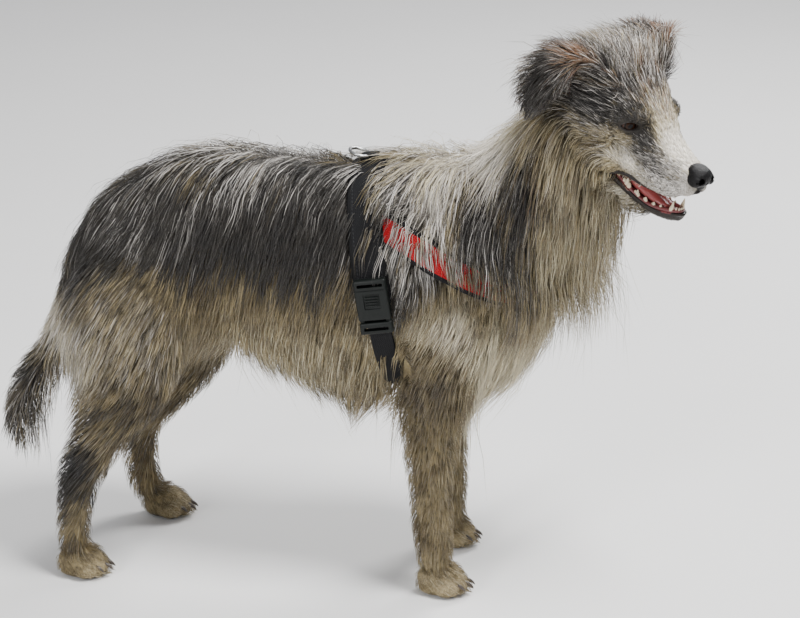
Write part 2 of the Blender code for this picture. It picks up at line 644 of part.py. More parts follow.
# Teeth of one side from the front: place along, up and across, height, half length, half width.
LOWER_TEETH = [
    (0.0740, -0.0405, 0.0012, 0.0040, 0.0011, 0.0012),
    (0.0735, -0.0407, 0.0036, 0.0042, 0.0011, 0.0012),
    (0.0717, -0.0415, 0.0058, 0.0045, 0.0012, 0.0012),
    (0.0680, -0.0437, 0.0083, 0.0110, 0.0024, 0.0020),
    (0.0575, -0.0490, 0.0108, 0.0038, 0.0022, 0.0014),
    (0.0500, -0.0525, 0.0122, 0.0045, 0.0030, 0.0015),
    (0.0400, -0.0552, 0.0136, 0.0050, 0.0035, 0.0016),
    (0.0285, -0.0560, 0.0150, 0.0062, 0.0040, 0.0018),
    (0.0130, -0.0550, 0.0165, 0.0075, 0.0060, 0.0022),
    (-0.0020, -0.0530, 0.0172, 0.0045, 0.0040, 0.0022),
]
UPPER_TEETH = [
    (0.0745, -0.0415, 0.0014, 0.0045, 0.0012, 0.0013),
    (0.0735, -0.0417, 0.0042, 0.0048, 0.0012, 0.0013),
    (0.0710, -0.0420, 0.0068, 0.0052, 0.0013, 0.0013),
    (0.0640, -0.0430, 0.0092, 0.0110, 0.0024, 0.0020),
    (0.0520, -0.0455, 0.0112, 0.0040, 0.0024, 0.0015),
    (0.0415, -0.0475, 0.0124, 0.0048, 0.0032, 0.0016),
    (0.0305, -0.0485, 0.0136, 0.0052, 0.0036, 0.0017),
    (0.0165, -0.0485, 0.0148, 0.0070, 0.0065, 0.0024),
    (0.0030, -0.0475, 0.0155, 0.0045, 0.0045, 0.0030),
]
GUM_RADIUS = 0.0021


def add_tooth(bm, base, height, half_length, half_width):
    """A pointed cone, eight-sided, standing on the gum; a negative height points down."""
    lean = Vector((-0.18, 0.10 if base[1] > 0 else -0.10, 1.0))
    tip = bm.verts.new(Vector(base) + Vector((lean.x, lean.y, 1.0)) * height)
    foot = bm.verts.new(Vector(base) - Vector((0, 0, height * 0.25)))
    ring = []
    for k in range(8):
        angle = math.pi * k / 4
        offset = Vector((half_length * math.cos(angle), half_width * math.sin(angle), 0))
        ring.append(bm.verts.new(Vector(base) + offset))
    for k in range(8):
        bm.faces.new((ring[k], ring[(k + 1) % 8], tip))
        bm.faces.new((ring[(k + 1) % 8], ring[k], foot))


def teeth(name, rows, sign, place):
    """A horseshoe of gum with its teeth, in one piece."""
    bm = bmesh.new()
    gum = (GUM_RADIUS,) * 3
    left = [section(x, y, z, *gum) for x, z, y, *_ in rows]
    right = [section(x, -y, z, *gum) for x, z, y, *_ in rows]
    add_tube(bm, left[::-1] + right, UP, around=10, steps=3)
    for x, z, y, height, half_length, half_width in rows:
        for side in (-1, 1):
            add_tooth(bm, (x, side * y, z), sign * height, half_length, half_width)
    bmesh.ops.transform(bm, matrix=place, verts=bm.verts)
    return fused(name, bm, 0.0005, 0.009, smoothing=1, finish="tooth")


def tube_object(name, sections, place, around, steps, finish="fawn_coat"):
    bm = bmesh.new()
    add_tube(bm, sections, UP, around=around, steps=steps)
    bmesh.ops.transform(bm, matrix=place, verts=bm.verts)
    bmesh.ops.triangulate(bm, faces=bm.faces)
    return new_object(name, mesh_from(bm, name), finish)


def fit_into(insert, *hosts):
    """Leaves room in the hosts for the insert, a cut wider all round."""
    for host in hosts:
        for amount in (CUT, CUT / 10):
            cutter = grown(insert, amount)
            boolean(host, cutter, "DIFFERENCE")
            remove(cutter)


def ellipsoid_object(name, centre, radii, turn, segments, finish, frame):
    bm = bmesh.new()
    add_ellipsoid(bm, centre, radii, turn, segments)
    bmesh.ops.transform(bm, matrix=frame, verts=bm.verts)
    bmesh.ops.triangulate(bm, faces=bm.faces)
    return new_object(name, mesh_from(bm, name), finish)


def make_mouth(pieces):
    head, neck = pieces["head"], pieces["neck"]
    swing = head_frame() @ jaw_swing()
    bm = bmesh.new()
    add_tube(bm, JAW, UP, around=24)
    bmesh.ops.transform(bm, matrix=swing, verts=bm.verts)
    jaw = fused("jaw", bm, 0.0012, 0.0065, smoothing=4, finish="pale_coat")
    hollow = tube_object("hollow", PALATE, head_frame(), 12, 2)
    centre, radii = MOUTH_CORNERS
    corners = ellipsoid_object("corners", centre, radii, None, 14, "fawn_coat", head_frame())
    boolean(head, hollow, "DIFFERENCE")
    boolean(head, corners, "DIFFERENCE")
    fit_into(jaw, head, neck)
    tongue = tube_object("tongue", TONGUE, swing, 12, 2, "tongue")
    lower = teeth("lower_teeth", LOWER_TEETH, 1, swing)
    upper = teeth("upper_teeth", UPPER_TEETH, -1, head_frame())
    fit_into(tongue, lower, jaw, head)
    fit_into(lower, jaw, head)
    fit_into(upper, head)
    remove(hollow, corners)
    pieces.update(jaw=jaw, tongue=tongue, lower_teeth=lower, upper_teeth=upper)


def make_nose(pieces):
    bm = bmesh.new()
    add_ellipsoid(bm, NOSE_CENTRE, NOSE_RADII)
    add_ellipsoid(bm, NOSE_CENTRE + Vector((0.001, 0, -0.007)), (0.0075, 0.0060, 0.0070))
    bmesh.ops.transform(bm, matrix=head_frame(), verts=bm.verts)
    nose = fused("nose", bm, 0.0010, 0.022, smoothing=3, finish="nose_leather")
    for side in (-1, 1):
        place = NOSTRIL_PLACE * Vector((1, side, 1))
        radii = (0.005, NOSTRIL_RADIUS, NOSTRIL_RADIUS * 1.2)
        turn = Matrix.Rotation(math.radians(side * 28), 4, "Z")
        hole = ellipsoid_object("hole", place, radii, turn, 8, "nose_leather", head_frame())
        boolean(nose, hole, "DIFFERENCE")
        remove(hole)
    fit_into(nose, pieces["head"])
    pieces["nose"] = nose


LID_RADII = Vector((0.0060, 0.0105, 0.0056))  # depth, half length, half height of the opening
LID_TURN = math.radians(32)


def make_eyes(pieces):
    frame = head_frame()
    for side, sign in (("right", -1), ("left", 1)):
        centre = EYE_PLACE * Vector((1, sign, 1))
        turn = Matrix.Rotation(sign * LID_TURN, 4, "Z")
        gaze = turn @ FORWARD
        radii = (EYE_RADIUS,) * 3
        eye = ellipsoid_object("eye_" + side, centre, radii, turn, 12, "eye", frame)
        opening = centre + gaze * EYE_RADIUS
        lids = ellipsoid_object("lids", opening, LID_RADII, turn, 10, "eye", frame)
        boolean(pieces["head"], lids, "DIFFERENCE")
        remove(lids)
        fit_into(eye, pieces["head"])
        pieces["eye_" + side] = eye


# ---- claws --------------------------------------------------------------------
def make_claws(pieces):
    """A curved cone at each toe, its root sunk in the foot."""
    for key, tip in PAW_TIPS.items():
        foot = pieces[key.replace("_", "foot_")]
        for number, toe in enumerate(paw_toes(tip), 1):
            bm = bmesh.new()
            root = toe + Vector((TOE_RADIUS * 1.05, 0, 0.0035))
            path = [(-0.004, 0.0008, 1.0), (0.0060, -0.0010, 0.75)]
            rows = []
            for along, rise, share in path:
                radius = CLAW_RADIUS * share
                place = root + Vector((along, 0, rise))
                rows.append(section(*place, radius, radius, radius * 0.8))
            add_tube(bm, rows, UP, around=5, steps=1)
            bmesh.ops.triangulate(bm, faces=bm.faces)
            name = "claw_%s_%d" % (key, number)
            claw = new_object(name, mesh_from(bm, name), "claw")
            fit_into(claw, foot)
            pieces[name] = claw


# ---- the harness --------------------------------------------------------------
def loop_band(name, frame, half_wide, up, down, widths, lean, extra=0.0, reach=0.0):
    """A flat band round a rounded loop in the frame's YZ plane, its width along the frame's X.

    The loop is the band's inner edge; widths are those above and below its middle;
    lean tips the band's edge inward; extra grows it all round and reach adds outward.
    """
    power, thick = LOOP_ROUNDNESS, STRAP_THICKNESS
    bm = bmesh.new()
    count = 28
    rings = []
    for k in range(count):
        angle = 2 * math.pi * k / count
        cos, sin = math.cos(angle), math.sin(angle)
        radial = (abs(cos) ** power + abs(sin) ** power) ** (-1 / power)
        tall = up if sin > 0 else down
        inner = Vector((0, radial * cos * half_wide, radial * sin * tall))
        outward = Vector((0, cos * tall, sin * half_wide)).normalized()
        near = inner - outward * extra
        far = inner + outward * (thick + extra + reach)
        share = min(max(-sin * 4, 0.0), 1.0)
        width = widths[0] + (widths[1] - widths[0]) * share
        half = Vector((1, -cos * lean, 0)) * (width / 2 + extra)
        corners = (near - half, near + half, far + half, far - half)
        rings.append([bm.verts.new(frame @ corner) for corner in corners])
    for k, ring in enumerate(rings):
        following = rings[(k + 1) % count]
        for j in range(4):
            bm.faces.new((ring[j], ring[(j + 1) % 4], following[(j + 1) % 4], following[j]))
    bmesh.ops.triangulate(bm, faces=bm.faces)
    return new_object(name, mesh_from(bm, name), "black_webbing")


def girth_frame():
    return Matrix.Translation(GIRTH_CENTRE) @ Matrix.Rotation(-GIRTH_LEAN, 4, "Y")


def chest_strap_frame():
    """X across the strap's width, Z forward and down along its fall."""
    fall = Vector((math.cos(CHEST_STRAP_FALL), 0, -math.sin(CHEST_STRAP_FALL)))
    width_way = Vector((math.sin(CHEST_STRAP_FALL), 0, math.cos(CHEST_STRAP_FALL)))
    turn = Matrix((width_way, width_way.cross(fall) * -1, fall)).transposed().to_4x4()
    return Matrix.Translation(CHEST_STRAP_REAR + fall * CHEST_STRAP_WIDEST) @ turn


def box_object(name, centre, size, frame, finish, bevel=0.0):
    bm = bmesh.new()
    bmesh.ops.create_cube(bm, size=1, matrix=Matrix.Translation(centre) @ Matrix.Diagonal((*size, 1)))
    if bevel:
        bmesh.ops.bevel(bm, geom=bm.edges, offset=bevel, segments=1, affect="EDGES")
    bmesh.ops.transform(bm, matrix=frame, verts=bm.verts)
    bmesh.ops.triangulate(bm, faces=bm.faces)
    return new_object(name, mesh_from(bm, name), finish)


def buckle_place(sign, extra):
    """Middle and size of the buckle's box in the girth's frame, grown by extra."""
    out = GIRTH_HALF_WIDTH + STRAP_THICKNESS + CUT + BUCKLE_SIZE.y / 2
    margin = Vector((extra, extra, extra)) * 2
    return Vector((0, sign * out, BUCKLE_LEVEL)), BUCKLE_SIZE + margin


def make_buckle(name, sign):
    """A side-release buckle on the girth: a ribbed body with its two prongs showing."""
    frame = girth_frame()
    middle, size = buckle_place(sign, 0.0)
    buckle = box_object(name, middle, size, frame, "buckle_plastic", 0.0018)
    face = sign * BUCKLE_SIZE.y / 2
    cuts = [
        ((0, face, 0.004), (0.05, 0.004, 0.0014)),  # where the halves meet
        ((0, face, -0.023), (0.05, 0.003, 0.0020)),  # bar the strap is threaded on
        ((0, face, 0.023), (0.05, 0.003, 0.0020)),
    ]
    for way in (-1, 1):
        cuts.append(((way * BUCKLE_SIZE.x / 2, 0, -0.007), (0.006, 0.0045, 0.018)))  # prongs
    for place, size in cuts:
        cutter = box_object("cut", middle + Vector(place), size, frame, "buckle_plastic")
        boolean(buckle, cutter, "DIFFERENCE")
        remove(cutter)
    return buckle


def make_ring(pieces):
    """A steel ring held on the top of the girth by a folded keeper."""
    frame = girth_frame()
    top = GIRTH_UP + STRAP_THICKNESS
    middle = Vector((0, 0, top + CUT + KEEPER_SIZE.z / 2))
    keeper = box_object("ring_keeper", middle, KEEPER_SIZE, frame, "black_webbing", 0.0012)
    lie = Matrix.Rotation(RING_LIE, 4, "Y") @ Matrix.Translation((-RING_RADIUS * 0.92, 0, 0))
    ring_frame = frame @ Matrix.Translation((0, 0, middle.z + 0.0005)) @ lie
    rows, sides = 16, 6
    bm = bmesh.new()
    rings = []
    for k in range(rows):
        angle = 2 * math.pi * k / rows
        outward = Vector((math.cos(angle), math.sin(angle), 0))
        ring = []
        for j in range(sides):
            turn = 2 * math.pi * j / sides
            reach = RING_RADIUS + RING_WIRE * math.cos(turn)
            point = outward * reach + UP * RING_WIRE * math.sin(turn)
            ring.append(bm.verts.new(ring_frame @ point))
        rings.append(ring)
    for k in range(rows):
        following = rings[(k + 1) % rows]
        for j in range(sides):
            nxt = (j + 1) % sides
            bm.faces.new((rings[k][j], rings[k][nxt], following[nxt], following[j]))
    bmesh.ops.triangulate(bm, faces=bm.faces)
    ring = new_object("ring", mesh_from(bm, "ring"), "steel")
    fit_into(ring, keeper)
    pieces.update(ring=ring, ring_keeper=keeper)


def make_harness(pieces):
    hosts = [pieces[k] for k in ("chest", "foreleg_upper_right", "foreleg_upper_left", "neck")]
    girth_widths = (GIRTH_WIDTH, GIRTH_STRAP_WIDTH)
    strap_widths = (CHEST_STRAP_WIDTH, CHEST_STRAP_WIDTH)
    girth_sizes = (girth_frame(), GIRTH_HALF_WIDTH, GIRTH_UP, GIRTH_DOWN, girth_widths, 0.0)
    strap_sizes = (
        chest_strap_frame(),
        CHEST_STRAP_HALF_WIDTH,
        CHEST_STRAP_FRONT,
        CHEST_STRAP_BACK,
        strap_widths,
        CHEST_STRAP_LEAN,
    )
    girth = loop_band("girth", *girth_sizes)
    strap = loop_band("chest_strap", *strap_sizes)
    replace_finish(strap, "red_webbing")
    # Only the front of the strap's loop is kept: it starts at the girth's front edge.
    cut_away(strap, box_cell((-0.20, -0.2, -0.20), (GIRTH_WIDTH / 2, 0.2, 0.30), girth_frame()))
    for sizes, behind in ((girth_sizes, None), (strap_sizes, 0.0)):
        groove = loop_band("groove", *sizes, extra=CUT, reach=GROOVE_REACH)
        if behind is not None:
            cut_away(groove, box_cell((-0.20, -0.2, -0.20), (behind, 0.2, 0.30), girth_frame()))
        for host in hosts:
            boolean(host, groove, "DIFFERENCE")
        remove(groove)
    pieces.update(girth=girth, chest_strap=strap)
    for side, sign in (("right", -1), ("left", 1)):
        buckle = make_buckle("buckle_" + side, sign)
        pocket = box_object("pocket", *buckle_place(sign, CUT), girth_frame(), "buckle_plastic")
        for host in hosts:
            boolean(host, pocket, "DIFFERENCE")
        remove(pocket)
        pieces["buckle_" + side] = buckle
    make_ring(pieces)


def centre_on_floor():
    """Puts the middle of the model's footprint box at the origin, on the floor."""
    corners = [v.co for thing in bpy.data.objects for v in thing.data.vertices]
    shift = Vector((0, 0, 0))
    for axis in (0, 1):
        values = [co[axis] for co in corners]
        shift[axis] = -(min(values) + max(values)) / 2
    for thing in bpy.data.objects:
        bm = bmesh.new()
        bm.from_mesh(thing.data)
        bmesh.ops.translate(bm, verts=bm.verts, vec=shift)
        bmesh.ops.scale(bm, verts=bm.verts, vec=(SCALE, SCALE, SCALE))
        bm.to_mesh(thing.data)
        bm.free()


# ---- main ----------------------------------------------------------------------
def main():
    clear_scene()
    pieces = make_flesh()
    make_mouth(pieces)
    make_nose(pieces)
    make_eyes(pieces)
    make_claws(pieces)
    make_harness(pieces)
    centre_on_floor()


if __name__ == "__main__":
    main()
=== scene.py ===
"""A standing Pyrenean shepherd dog in its walking harness: skin, coat, head, claws and webbing.

Metres, +Z up, +X the way the body faces, +Y the dog's left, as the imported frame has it.
One skin covers the flesh. The coat is solid locks of hair that root in that skin, lie
along it and hang where they are long. The same markings colour the skin and the coat.
"""

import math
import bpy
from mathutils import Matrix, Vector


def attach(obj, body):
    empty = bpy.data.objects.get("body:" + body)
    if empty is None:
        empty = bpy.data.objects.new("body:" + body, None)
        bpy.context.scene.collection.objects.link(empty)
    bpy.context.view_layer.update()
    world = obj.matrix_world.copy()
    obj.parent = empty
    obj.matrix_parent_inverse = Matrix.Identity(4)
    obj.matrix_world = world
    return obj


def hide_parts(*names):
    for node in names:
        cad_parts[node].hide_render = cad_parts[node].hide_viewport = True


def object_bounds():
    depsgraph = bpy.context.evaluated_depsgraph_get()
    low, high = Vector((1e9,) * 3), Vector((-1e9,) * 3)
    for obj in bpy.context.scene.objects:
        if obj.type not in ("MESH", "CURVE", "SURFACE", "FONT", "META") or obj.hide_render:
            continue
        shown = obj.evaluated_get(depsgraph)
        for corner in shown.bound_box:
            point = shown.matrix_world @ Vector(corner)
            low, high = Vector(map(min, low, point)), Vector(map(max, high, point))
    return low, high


bl_info = {
    "name": "Shepherd dog with harness",
    "version": (1, 0, 0),
    "blender": (4, 5, 0),
    "location": "View3D > Sidebar > Dog",
    "description": "Builds a long-coated shepherd dog and its walking harness on a packed frame",
    "category": "Add Mesh",
}

from collections import namedtuple

import bmesh
import bpy
import numpy as np
from bpy.props import FloatProperty, FloatVectorProperty, IntProperty, PointerProperty
from mathutils import Matrix, Vector, noise
from mathutils.bvhtree import BVHTree
from mathutils.kdtree import KDTree

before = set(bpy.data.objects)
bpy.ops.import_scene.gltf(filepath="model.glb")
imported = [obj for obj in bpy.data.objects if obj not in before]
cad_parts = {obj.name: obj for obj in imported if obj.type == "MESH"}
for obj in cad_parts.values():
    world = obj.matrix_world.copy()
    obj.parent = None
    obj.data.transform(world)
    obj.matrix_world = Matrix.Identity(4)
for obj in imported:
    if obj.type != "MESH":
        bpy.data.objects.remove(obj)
CAD_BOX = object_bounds()

# ---- where the dog stands --------------------------------------------------------
CENTRING = Vector((-0.08029, 0.00383, 0.0))  # from the dog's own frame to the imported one
HEAD_POSITION = Vector((0.405, -0.072, 0.540))  # midway between the eyes, dog's own frame
HEAD_TURN = math.radians(-37)
HEAD_NOD = math.radians(17)
JAW_HINGE = Vector((-0.045, 0.0, -0.026))  # head frame
JAW_OPENING = math.radians(13)
EYE_RADIUS = 0.0112
EYE_PLACE = Vector((-0.0085, 0.0245, 0.0005))  # left eye, head frame
EYE_TURN = math.radians(32)  # each eye looks this far outward
CORNEA_EDGE, CORNEA_SPAN, CORNEA_RISE = 0.84, 0.16, 0.05  # shares of the radius
LID_POINTS = 44
LID_HALF_WIDTH, UPPER_LID_RISE, LOWER_LID_FALL, LID_SLANT = 0.0092, 0.0056, 0.0042, 0.0012
CLEAR_HALF_WIDTH, CLEAR_HALF_HEIGHT = 0.0102, 0.0068  # no hair lies before this much of an eye
NOSE_CENTRE = Vector((0.0785, 0.0, -0.0210))  # head frame

UP = Vector((0, 0, 1))
FORWARD = Vector((1, 0, 0))

BODY = Matrix.Translation(CENTRING)
HEAD = (
    BODY
    @ Matrix.Translation(HEAD_POSITION)
    @ Matrix.Rotation(HEAD_TURN, 4, "Z")
    @ Matrix.Rotation(HEAD_NOD, 4, "Y")
)
JAW_SWING = (
    HEAD
    @ Matrix.Translation(JAW_HINGE)
    @ Matrix.Rotation(JAW_OPENING, 4, "Y")
    @ Matrix.Translation(-JAW_HINGE)
)

# ---- the flesh, with the depth of coat on it ---------------------------------------
# Sections along each part: the middle, the flesh to its front, back and sides, and then the
# depth of coat there. Front is up on trunk, neck and head, behind on the tail and ahead on a leg.
TRUNK = [
    (-0.212, 0, 0.325, 0.012, 0.014, 0.016, 0.008, 0.008, 0.008),
    (-0.190, 0, 0.340, 0.036, 0.050, 0.044, 0.006, 0.012, 0.016),
    (-0.150, 0, 0.352, 0.072, 0.070, 0.060, 0.010, 0.020, 0.018),
    (-0.095, 0, 0.355, 0.100, 0.064, 0.065, 0.014, 0.026, 0.018),
    (-0.035, 0, 0.355, 0.108, 0.062, 0.065, 0.016, 0.024, 0.018),
    (0.030, 0, 0.352, 0.108, 0.084, 0.071, 0.014, 0.026, 0.018),
    (0.090, 0, 0.350, 0.106, 0.107, 0.077, 0.013, 0.026, 0.018),
    (0.150, 0, 0.350, 0.115, 0.118, 0.079, 0.017, 0.025, 0.018),
    (0.205, 0, 0.352, 0.112, 0.114, 0.074, 0.020, 0.046, 0.020),
    (0.250, 0, 0.345, 0.066, 0.096, 0.054, 0.020, 0.054, 0.024),
    (0.280, 0, 0.341, 0.030, 0.062, 0.032, 0.012, 0.056, 0.022),
    (0.297, 0, 0.338, 0.012, 0.036, 0.012, 0.006, 0.048, 0.014),
]
NECK = [
    (0.165, 0, 0.375, 0.062, 0.062, 0.058, 0.0, 0.0, 0.0),
    (0.235, 0, 0.412, 0.053, 0.062, 0.052, 0.019, 0.060, 0.034),
    (0.290, -0.012, 0.465, 0.044, 0.054, 0.044, 0.026, 0.088, 0.036),
    (0.335, -0.028, 0.518, 0.040, 0.046, 0.042, 0.022, 0.062, 0.028),
    (0.352, -0.036, 0.540, 0.030, 0.036, 0.036, 0.010, 0.030, 0.014),
]
TAIL = [
    (-0.165, 0, 0.395, 0.014, 0.014, 0.018, 0.004, 0.004, 0.006),
    (-0.203, 0, 0.352, 0.013, 0.013, 0.014, 0.008, 0.012, 0.014),
    (-0.226, 0.002, 0.290, 0.010, 0.010, 0.010, 0.010, 0.020, 0.018),
    (-0.250, 0.004, 0.235, 0.008, 0.008, 0.008, 0.012, 0.036, 0.018),
    (-0.280, 0.004, 0.190, 0.007, 0.007, 0.007, 0.014, 0.062, 0.016),
    (-0.296, 0.004, 0.152, 0.005, 0.005, 0.005, 0.010, 0.056, 0.012),
    (-0.292, 0.004, 0.128, 0.003, 0.003, 0.003, 0.007, 0.034, 0.008),
]
FORELEG = [
    (0.160, -0.044, 0.430, 0.030, 0.030, 0.020, 0.0, 0.0, 0.008),
    (0.208, -0.060, 0.345, 0.046, 0.046, 0.028, 0.014, 0.008, 0.014),
    (0.186, -0.069, 0.262, 0.036, 0.034, 0.023, 0.024, 0.012, 0.012),
    (0.182, -0.069, 0.200, 0.023, 0.025, 0.019, 0.018, 0.014, 0.008),
    (0.182, -0.067, 0.135, 0.019, 0.019, 0.016, 0.007, 0.009, 0.006),
    (0.185, -0.066, 0.080, 0.018, 0.018, 0.016, 0.006, 0.008, 0.006),
    (0.187, -0.065, 0.042, 0.015, 0.016, 0.016, 0.005, 0.006, 0.005),
    (0.192, -0.065, 0.022, 0.014, 0.014, 0.015, 0.003, 0.003, 0.003),
]
HINDLEG_RIGHT = [
    (-0.130, -0.040, 0.380, 0.046, 0.050, 0.026, 0.0, 0.0, 0.010),
    (-0.136, -0.070, 0.305, 0.056, 0.064, 0.030, 0.010, 0.034, 0.016),
    (-0.137, -0.078, 0.232, 0.036, 0.044, 0.024, 0.012, 0.034, 0.012),
    (-0.166, -0.082, 0.172, 0.021, 0.025, 0.016, 0.010, 0.020, 0.008),
    (-0.196, -0.084, 0.115, 0.015, 0.020, 0.013, 0.008, 0.011, 0.006),
    (-0.208, -0.086, 0.062, 0.012, 0.013, 0.012, 0.007, 0.008, 0.006),
    (-0.208, -0.086, 0.030, 0.014, 0.012, 0.014, 0.005, 0.005, 0.005),
    (-0.202, -0.086, 0.018, 0.012, 0.012, 0.014, 0.003, 0.003, 0.003),
]
HINDLEG_LEFT = [
    (-0.130, 0.040, 0.380, 0.046, 0.050, 0.026, 0.0, 0.0, 0.010),
    (-0.124, 0.070, 0.300, 0.058, 0.064, 0.030, 0.010, 0.032, 0.016),
    (-0.108, 0.080, 0.220, 0.034, 0.046, 0.024, 0.012, 0.034, 0.012),
    (-0.138, 0.085, 0.160, 0.020, 0.025, 0.016, 0.008, 0.022, 0.008),
    (-0.172, 0.088, 0.110, 0.014, 0.019, 0.013, 0.007, 0.016, 0.006),
    (-0.176, 0.090, 0.060, 0.012, 0.013, 0.012, 0.007, 0.014, 0.006),
    (-0.170, 0.090, 0.030, 0.014, 0.012, 0.014, 0.005, 0.006, 0.005),
    (-0.160, 0.090, 0.018, 0.012, 0.012, 0.014, 0.003, 0.003, 0.003),
]
LEFT_FORELEG_SET_BACK = 0.005
# Head frame: origin between the eyes, +X towards the nose.
SKULL = [
    (-0.112, 0, 0.004, 0.014, 0.020, 0.016, 0.008, 0.008, 0.008),
    (-0.090, 0, 0.006, 0.034, 0.040, 0.036, 0.012, 0.010, 0.012),
    (-0.055, 0, 0.004, 0.043, 0.046, 0.044, 0.012, 0.010, 0.014),
    (-0.024, 0, -0.001, 0.040, 0.044, 0.040, 0.007, 0.007, 0.008),
    (0.003, 0, -0.009, 0.030, 0.036, 0.0275, 0.004, 0.004, 0.003),
    (0.022, 0, -0.019, 0.0225, 0.0315, 0.0245, 0.002, 0.002, 0.002),
    (0.048, 0, -0.0245, 0.0165, 0.0255, 0.0200, 0.002, 0.002, 0.0015),
    (0.068, 0, -0.0265, 0.0135, 0.0185, 0.0165, 0.0015, 0.0015, 0.0015),
    (0.0785, 0, -0.0270, 0.0100, 0.0125, 0.0125, 0.001, 0.001, 0.001),
]
JAW = [
    (-0.048, 0, -0.050, 0.010, 0.016, 0.026, 0.0, 0.003, 0.003),
    (-0.018, 0, -0.057, 0.006, 0.011, 0.0235, 0.0, 0.003, 0.002),
    (0.007, 0, -0.0595, 0.0050, 0.0070, 0.0210, 0.0, 0.0015, 0.001),
    (0.030, 0, -0.0605, 0.0045, 0.0065, 0.0180, 0.0, 0.001, 0.001),
    (0.050, 0, -0.0580, 0.0045, 0.0065, 0.0150, 0.0, 0.001, 0.001),
    (0.066, 0, -0.0510, 0.0050, 0.0070, 0.0120, 0.0, 0.001, 0.001),
    (0.0755, 0, -0.0455, 0.0045, 0.0060, 0.0085, 0.0, 0.0005, 0.0005),
]
EAR_RIGHT = [
    (-0.040, -0.028, 0.024, 0.022, 0.020, 0.008, 0.002, 0.002, 0.002),
    (-0.058, -0.048, 0.044, 0.022, 0.024, 0.005, 0.006, 0.006, 0.004),
    (-0.072, -0.065, 0.046, 0.024, 0.026, 0.004, 0.006, 0.010, 0.004),
    (-0.083, -0.077, 0.027, 0.023, 0.023, 0.003, 0.006, 0.010, 0.004),
    (-0.088, -0.083, 0.002, 0.016, 0.014, 0.003, 0.006, 0.008, 0.003),
    (-0.089, -0.085, -0.016, 0.004, 0.003, 0.002, 0.005, 0.004, 0.003),
]
EAR_LEFT = [
    (-0.040, 0.028, 0.024, 0.022, 0.020, 0.008, 0.002, 0.002, 0.002),
    (-0.056, 0.045, 0.044, 0.021, 0.024, 0.005, 0.006, 0.006, 0.004),
    (-0.070, 0.057, 0.050, 0.020, 0.026, 0.004, 0.004, 0.010, 0.004),
    (-0.081, 0.067, 0.034, 0.018, 0.023, 0.003, 0.004, 0.010, 0.004),
    (-0.087, 0.073, 0.010, 0.012, 0.014, 0.003, 0.004, 0.008, 0.003),
    (-0.088, 0.075, -0.008, 0.004, 0.003, 0.002, 0.004, 0.004, 0.003),
]
EAR_BREADTH = (1, 0, 0.35)
# Lumps of bone and muscle on the head, doubled to both sides: centre, then radii.
HEAD_LUMPS = [
    ((-0.004, 0.0215, 0.0110), (0.0190, 0.0130, 0.0085)),  # brow
    ((-0.045, 0.0360, -0.0180), (0.0290, 0.0150, 0.0240)),  # cheekbone
    ((-0.030, 0.0270, -0.0440), (0.0310, 0.0140, 0.0220)),  # jaw muscle
    ((0.030, 0.0165, -0.0430), (0.0420, 0.0105, 0.0115)),  # upper lip
    ((-0.002, 0.0220, -0.0415), (0.0220, 0.0085, 0.0120)),  # upper lip by its corner
    ((0.066, 0.0090, -0.0350), (0.0165, 0.0090, 0.0105)),  # whisker pad
]
PALATE = [
    (-0.034, 0, -0.056, 0.008, 0.010, 0.012),
    (-0.010, 0, -0.052, 0.012, 0.020, 0.0175),
    (0.030, 0, -0.050, 0.012, 0.020, 0.0160),
    (0.060, 0, -0.044, 0.006, 0.018, 0.0105),
    (0.070, 0, -0.044, 0.003, 0.016, 0.0050),
]
MOUTH_CORNERS = ((0.010, 0, -0.0640), (0.0250, 0.0400, 0.0070))
TONGUE = [
    (-0.036, 0, -0.0500, 0.0055, 0.0060, 0.0110),
    (-0.008, 0, -0.0495, 0.0075, 0.0080, 0.0130),
    (0.022, 0, -0.0510, 0.0070, 0.0070, 0.0125),
    (0.047, 0, -0.0500, 0.0050, 0.0050, 0.0095),
    (0.0600, 0, -0.0470, 0.0030, 0.0030, 0.0060),
]
LIP_POINTS, LIP_RADIUS = 40, 0.0019
# From the corner to the middle: along, across, up.
UPPER_LIP = [
    (-0.012, 0.0285, -0.0620), (-0.004, 0.0280, -0.0560), (0.008, 0.0262, -0.0520),
    (0.026, 0.0222, -0.0535), (0.048, 0.0178, -0.0515), (0.066, 0.0120, -0.0455),
    (0.0775, 0.0060, -0.0400), (0.0815, 0.0, -0.0375),
]  # fmt: skip
LOWER_LIP = [
    (-0.016, 0.0240, -0.0540), (-0.004, 0.0225, -0.0555), (0.007, 0.0205, -0.0568),
    (0.030, 0.0172, -0.0580), (0.050, 0.0143, -0.0555), (0.066, 0.0108, -0.0482),
    (0.0750, 0.0068, -0.0435), (0.0790, 0.0, -0.0425),
]  # fmt: skip
LIPS = ((UPPER_LIP, HEAD), (LOWER_LIP, JAW_SWING))
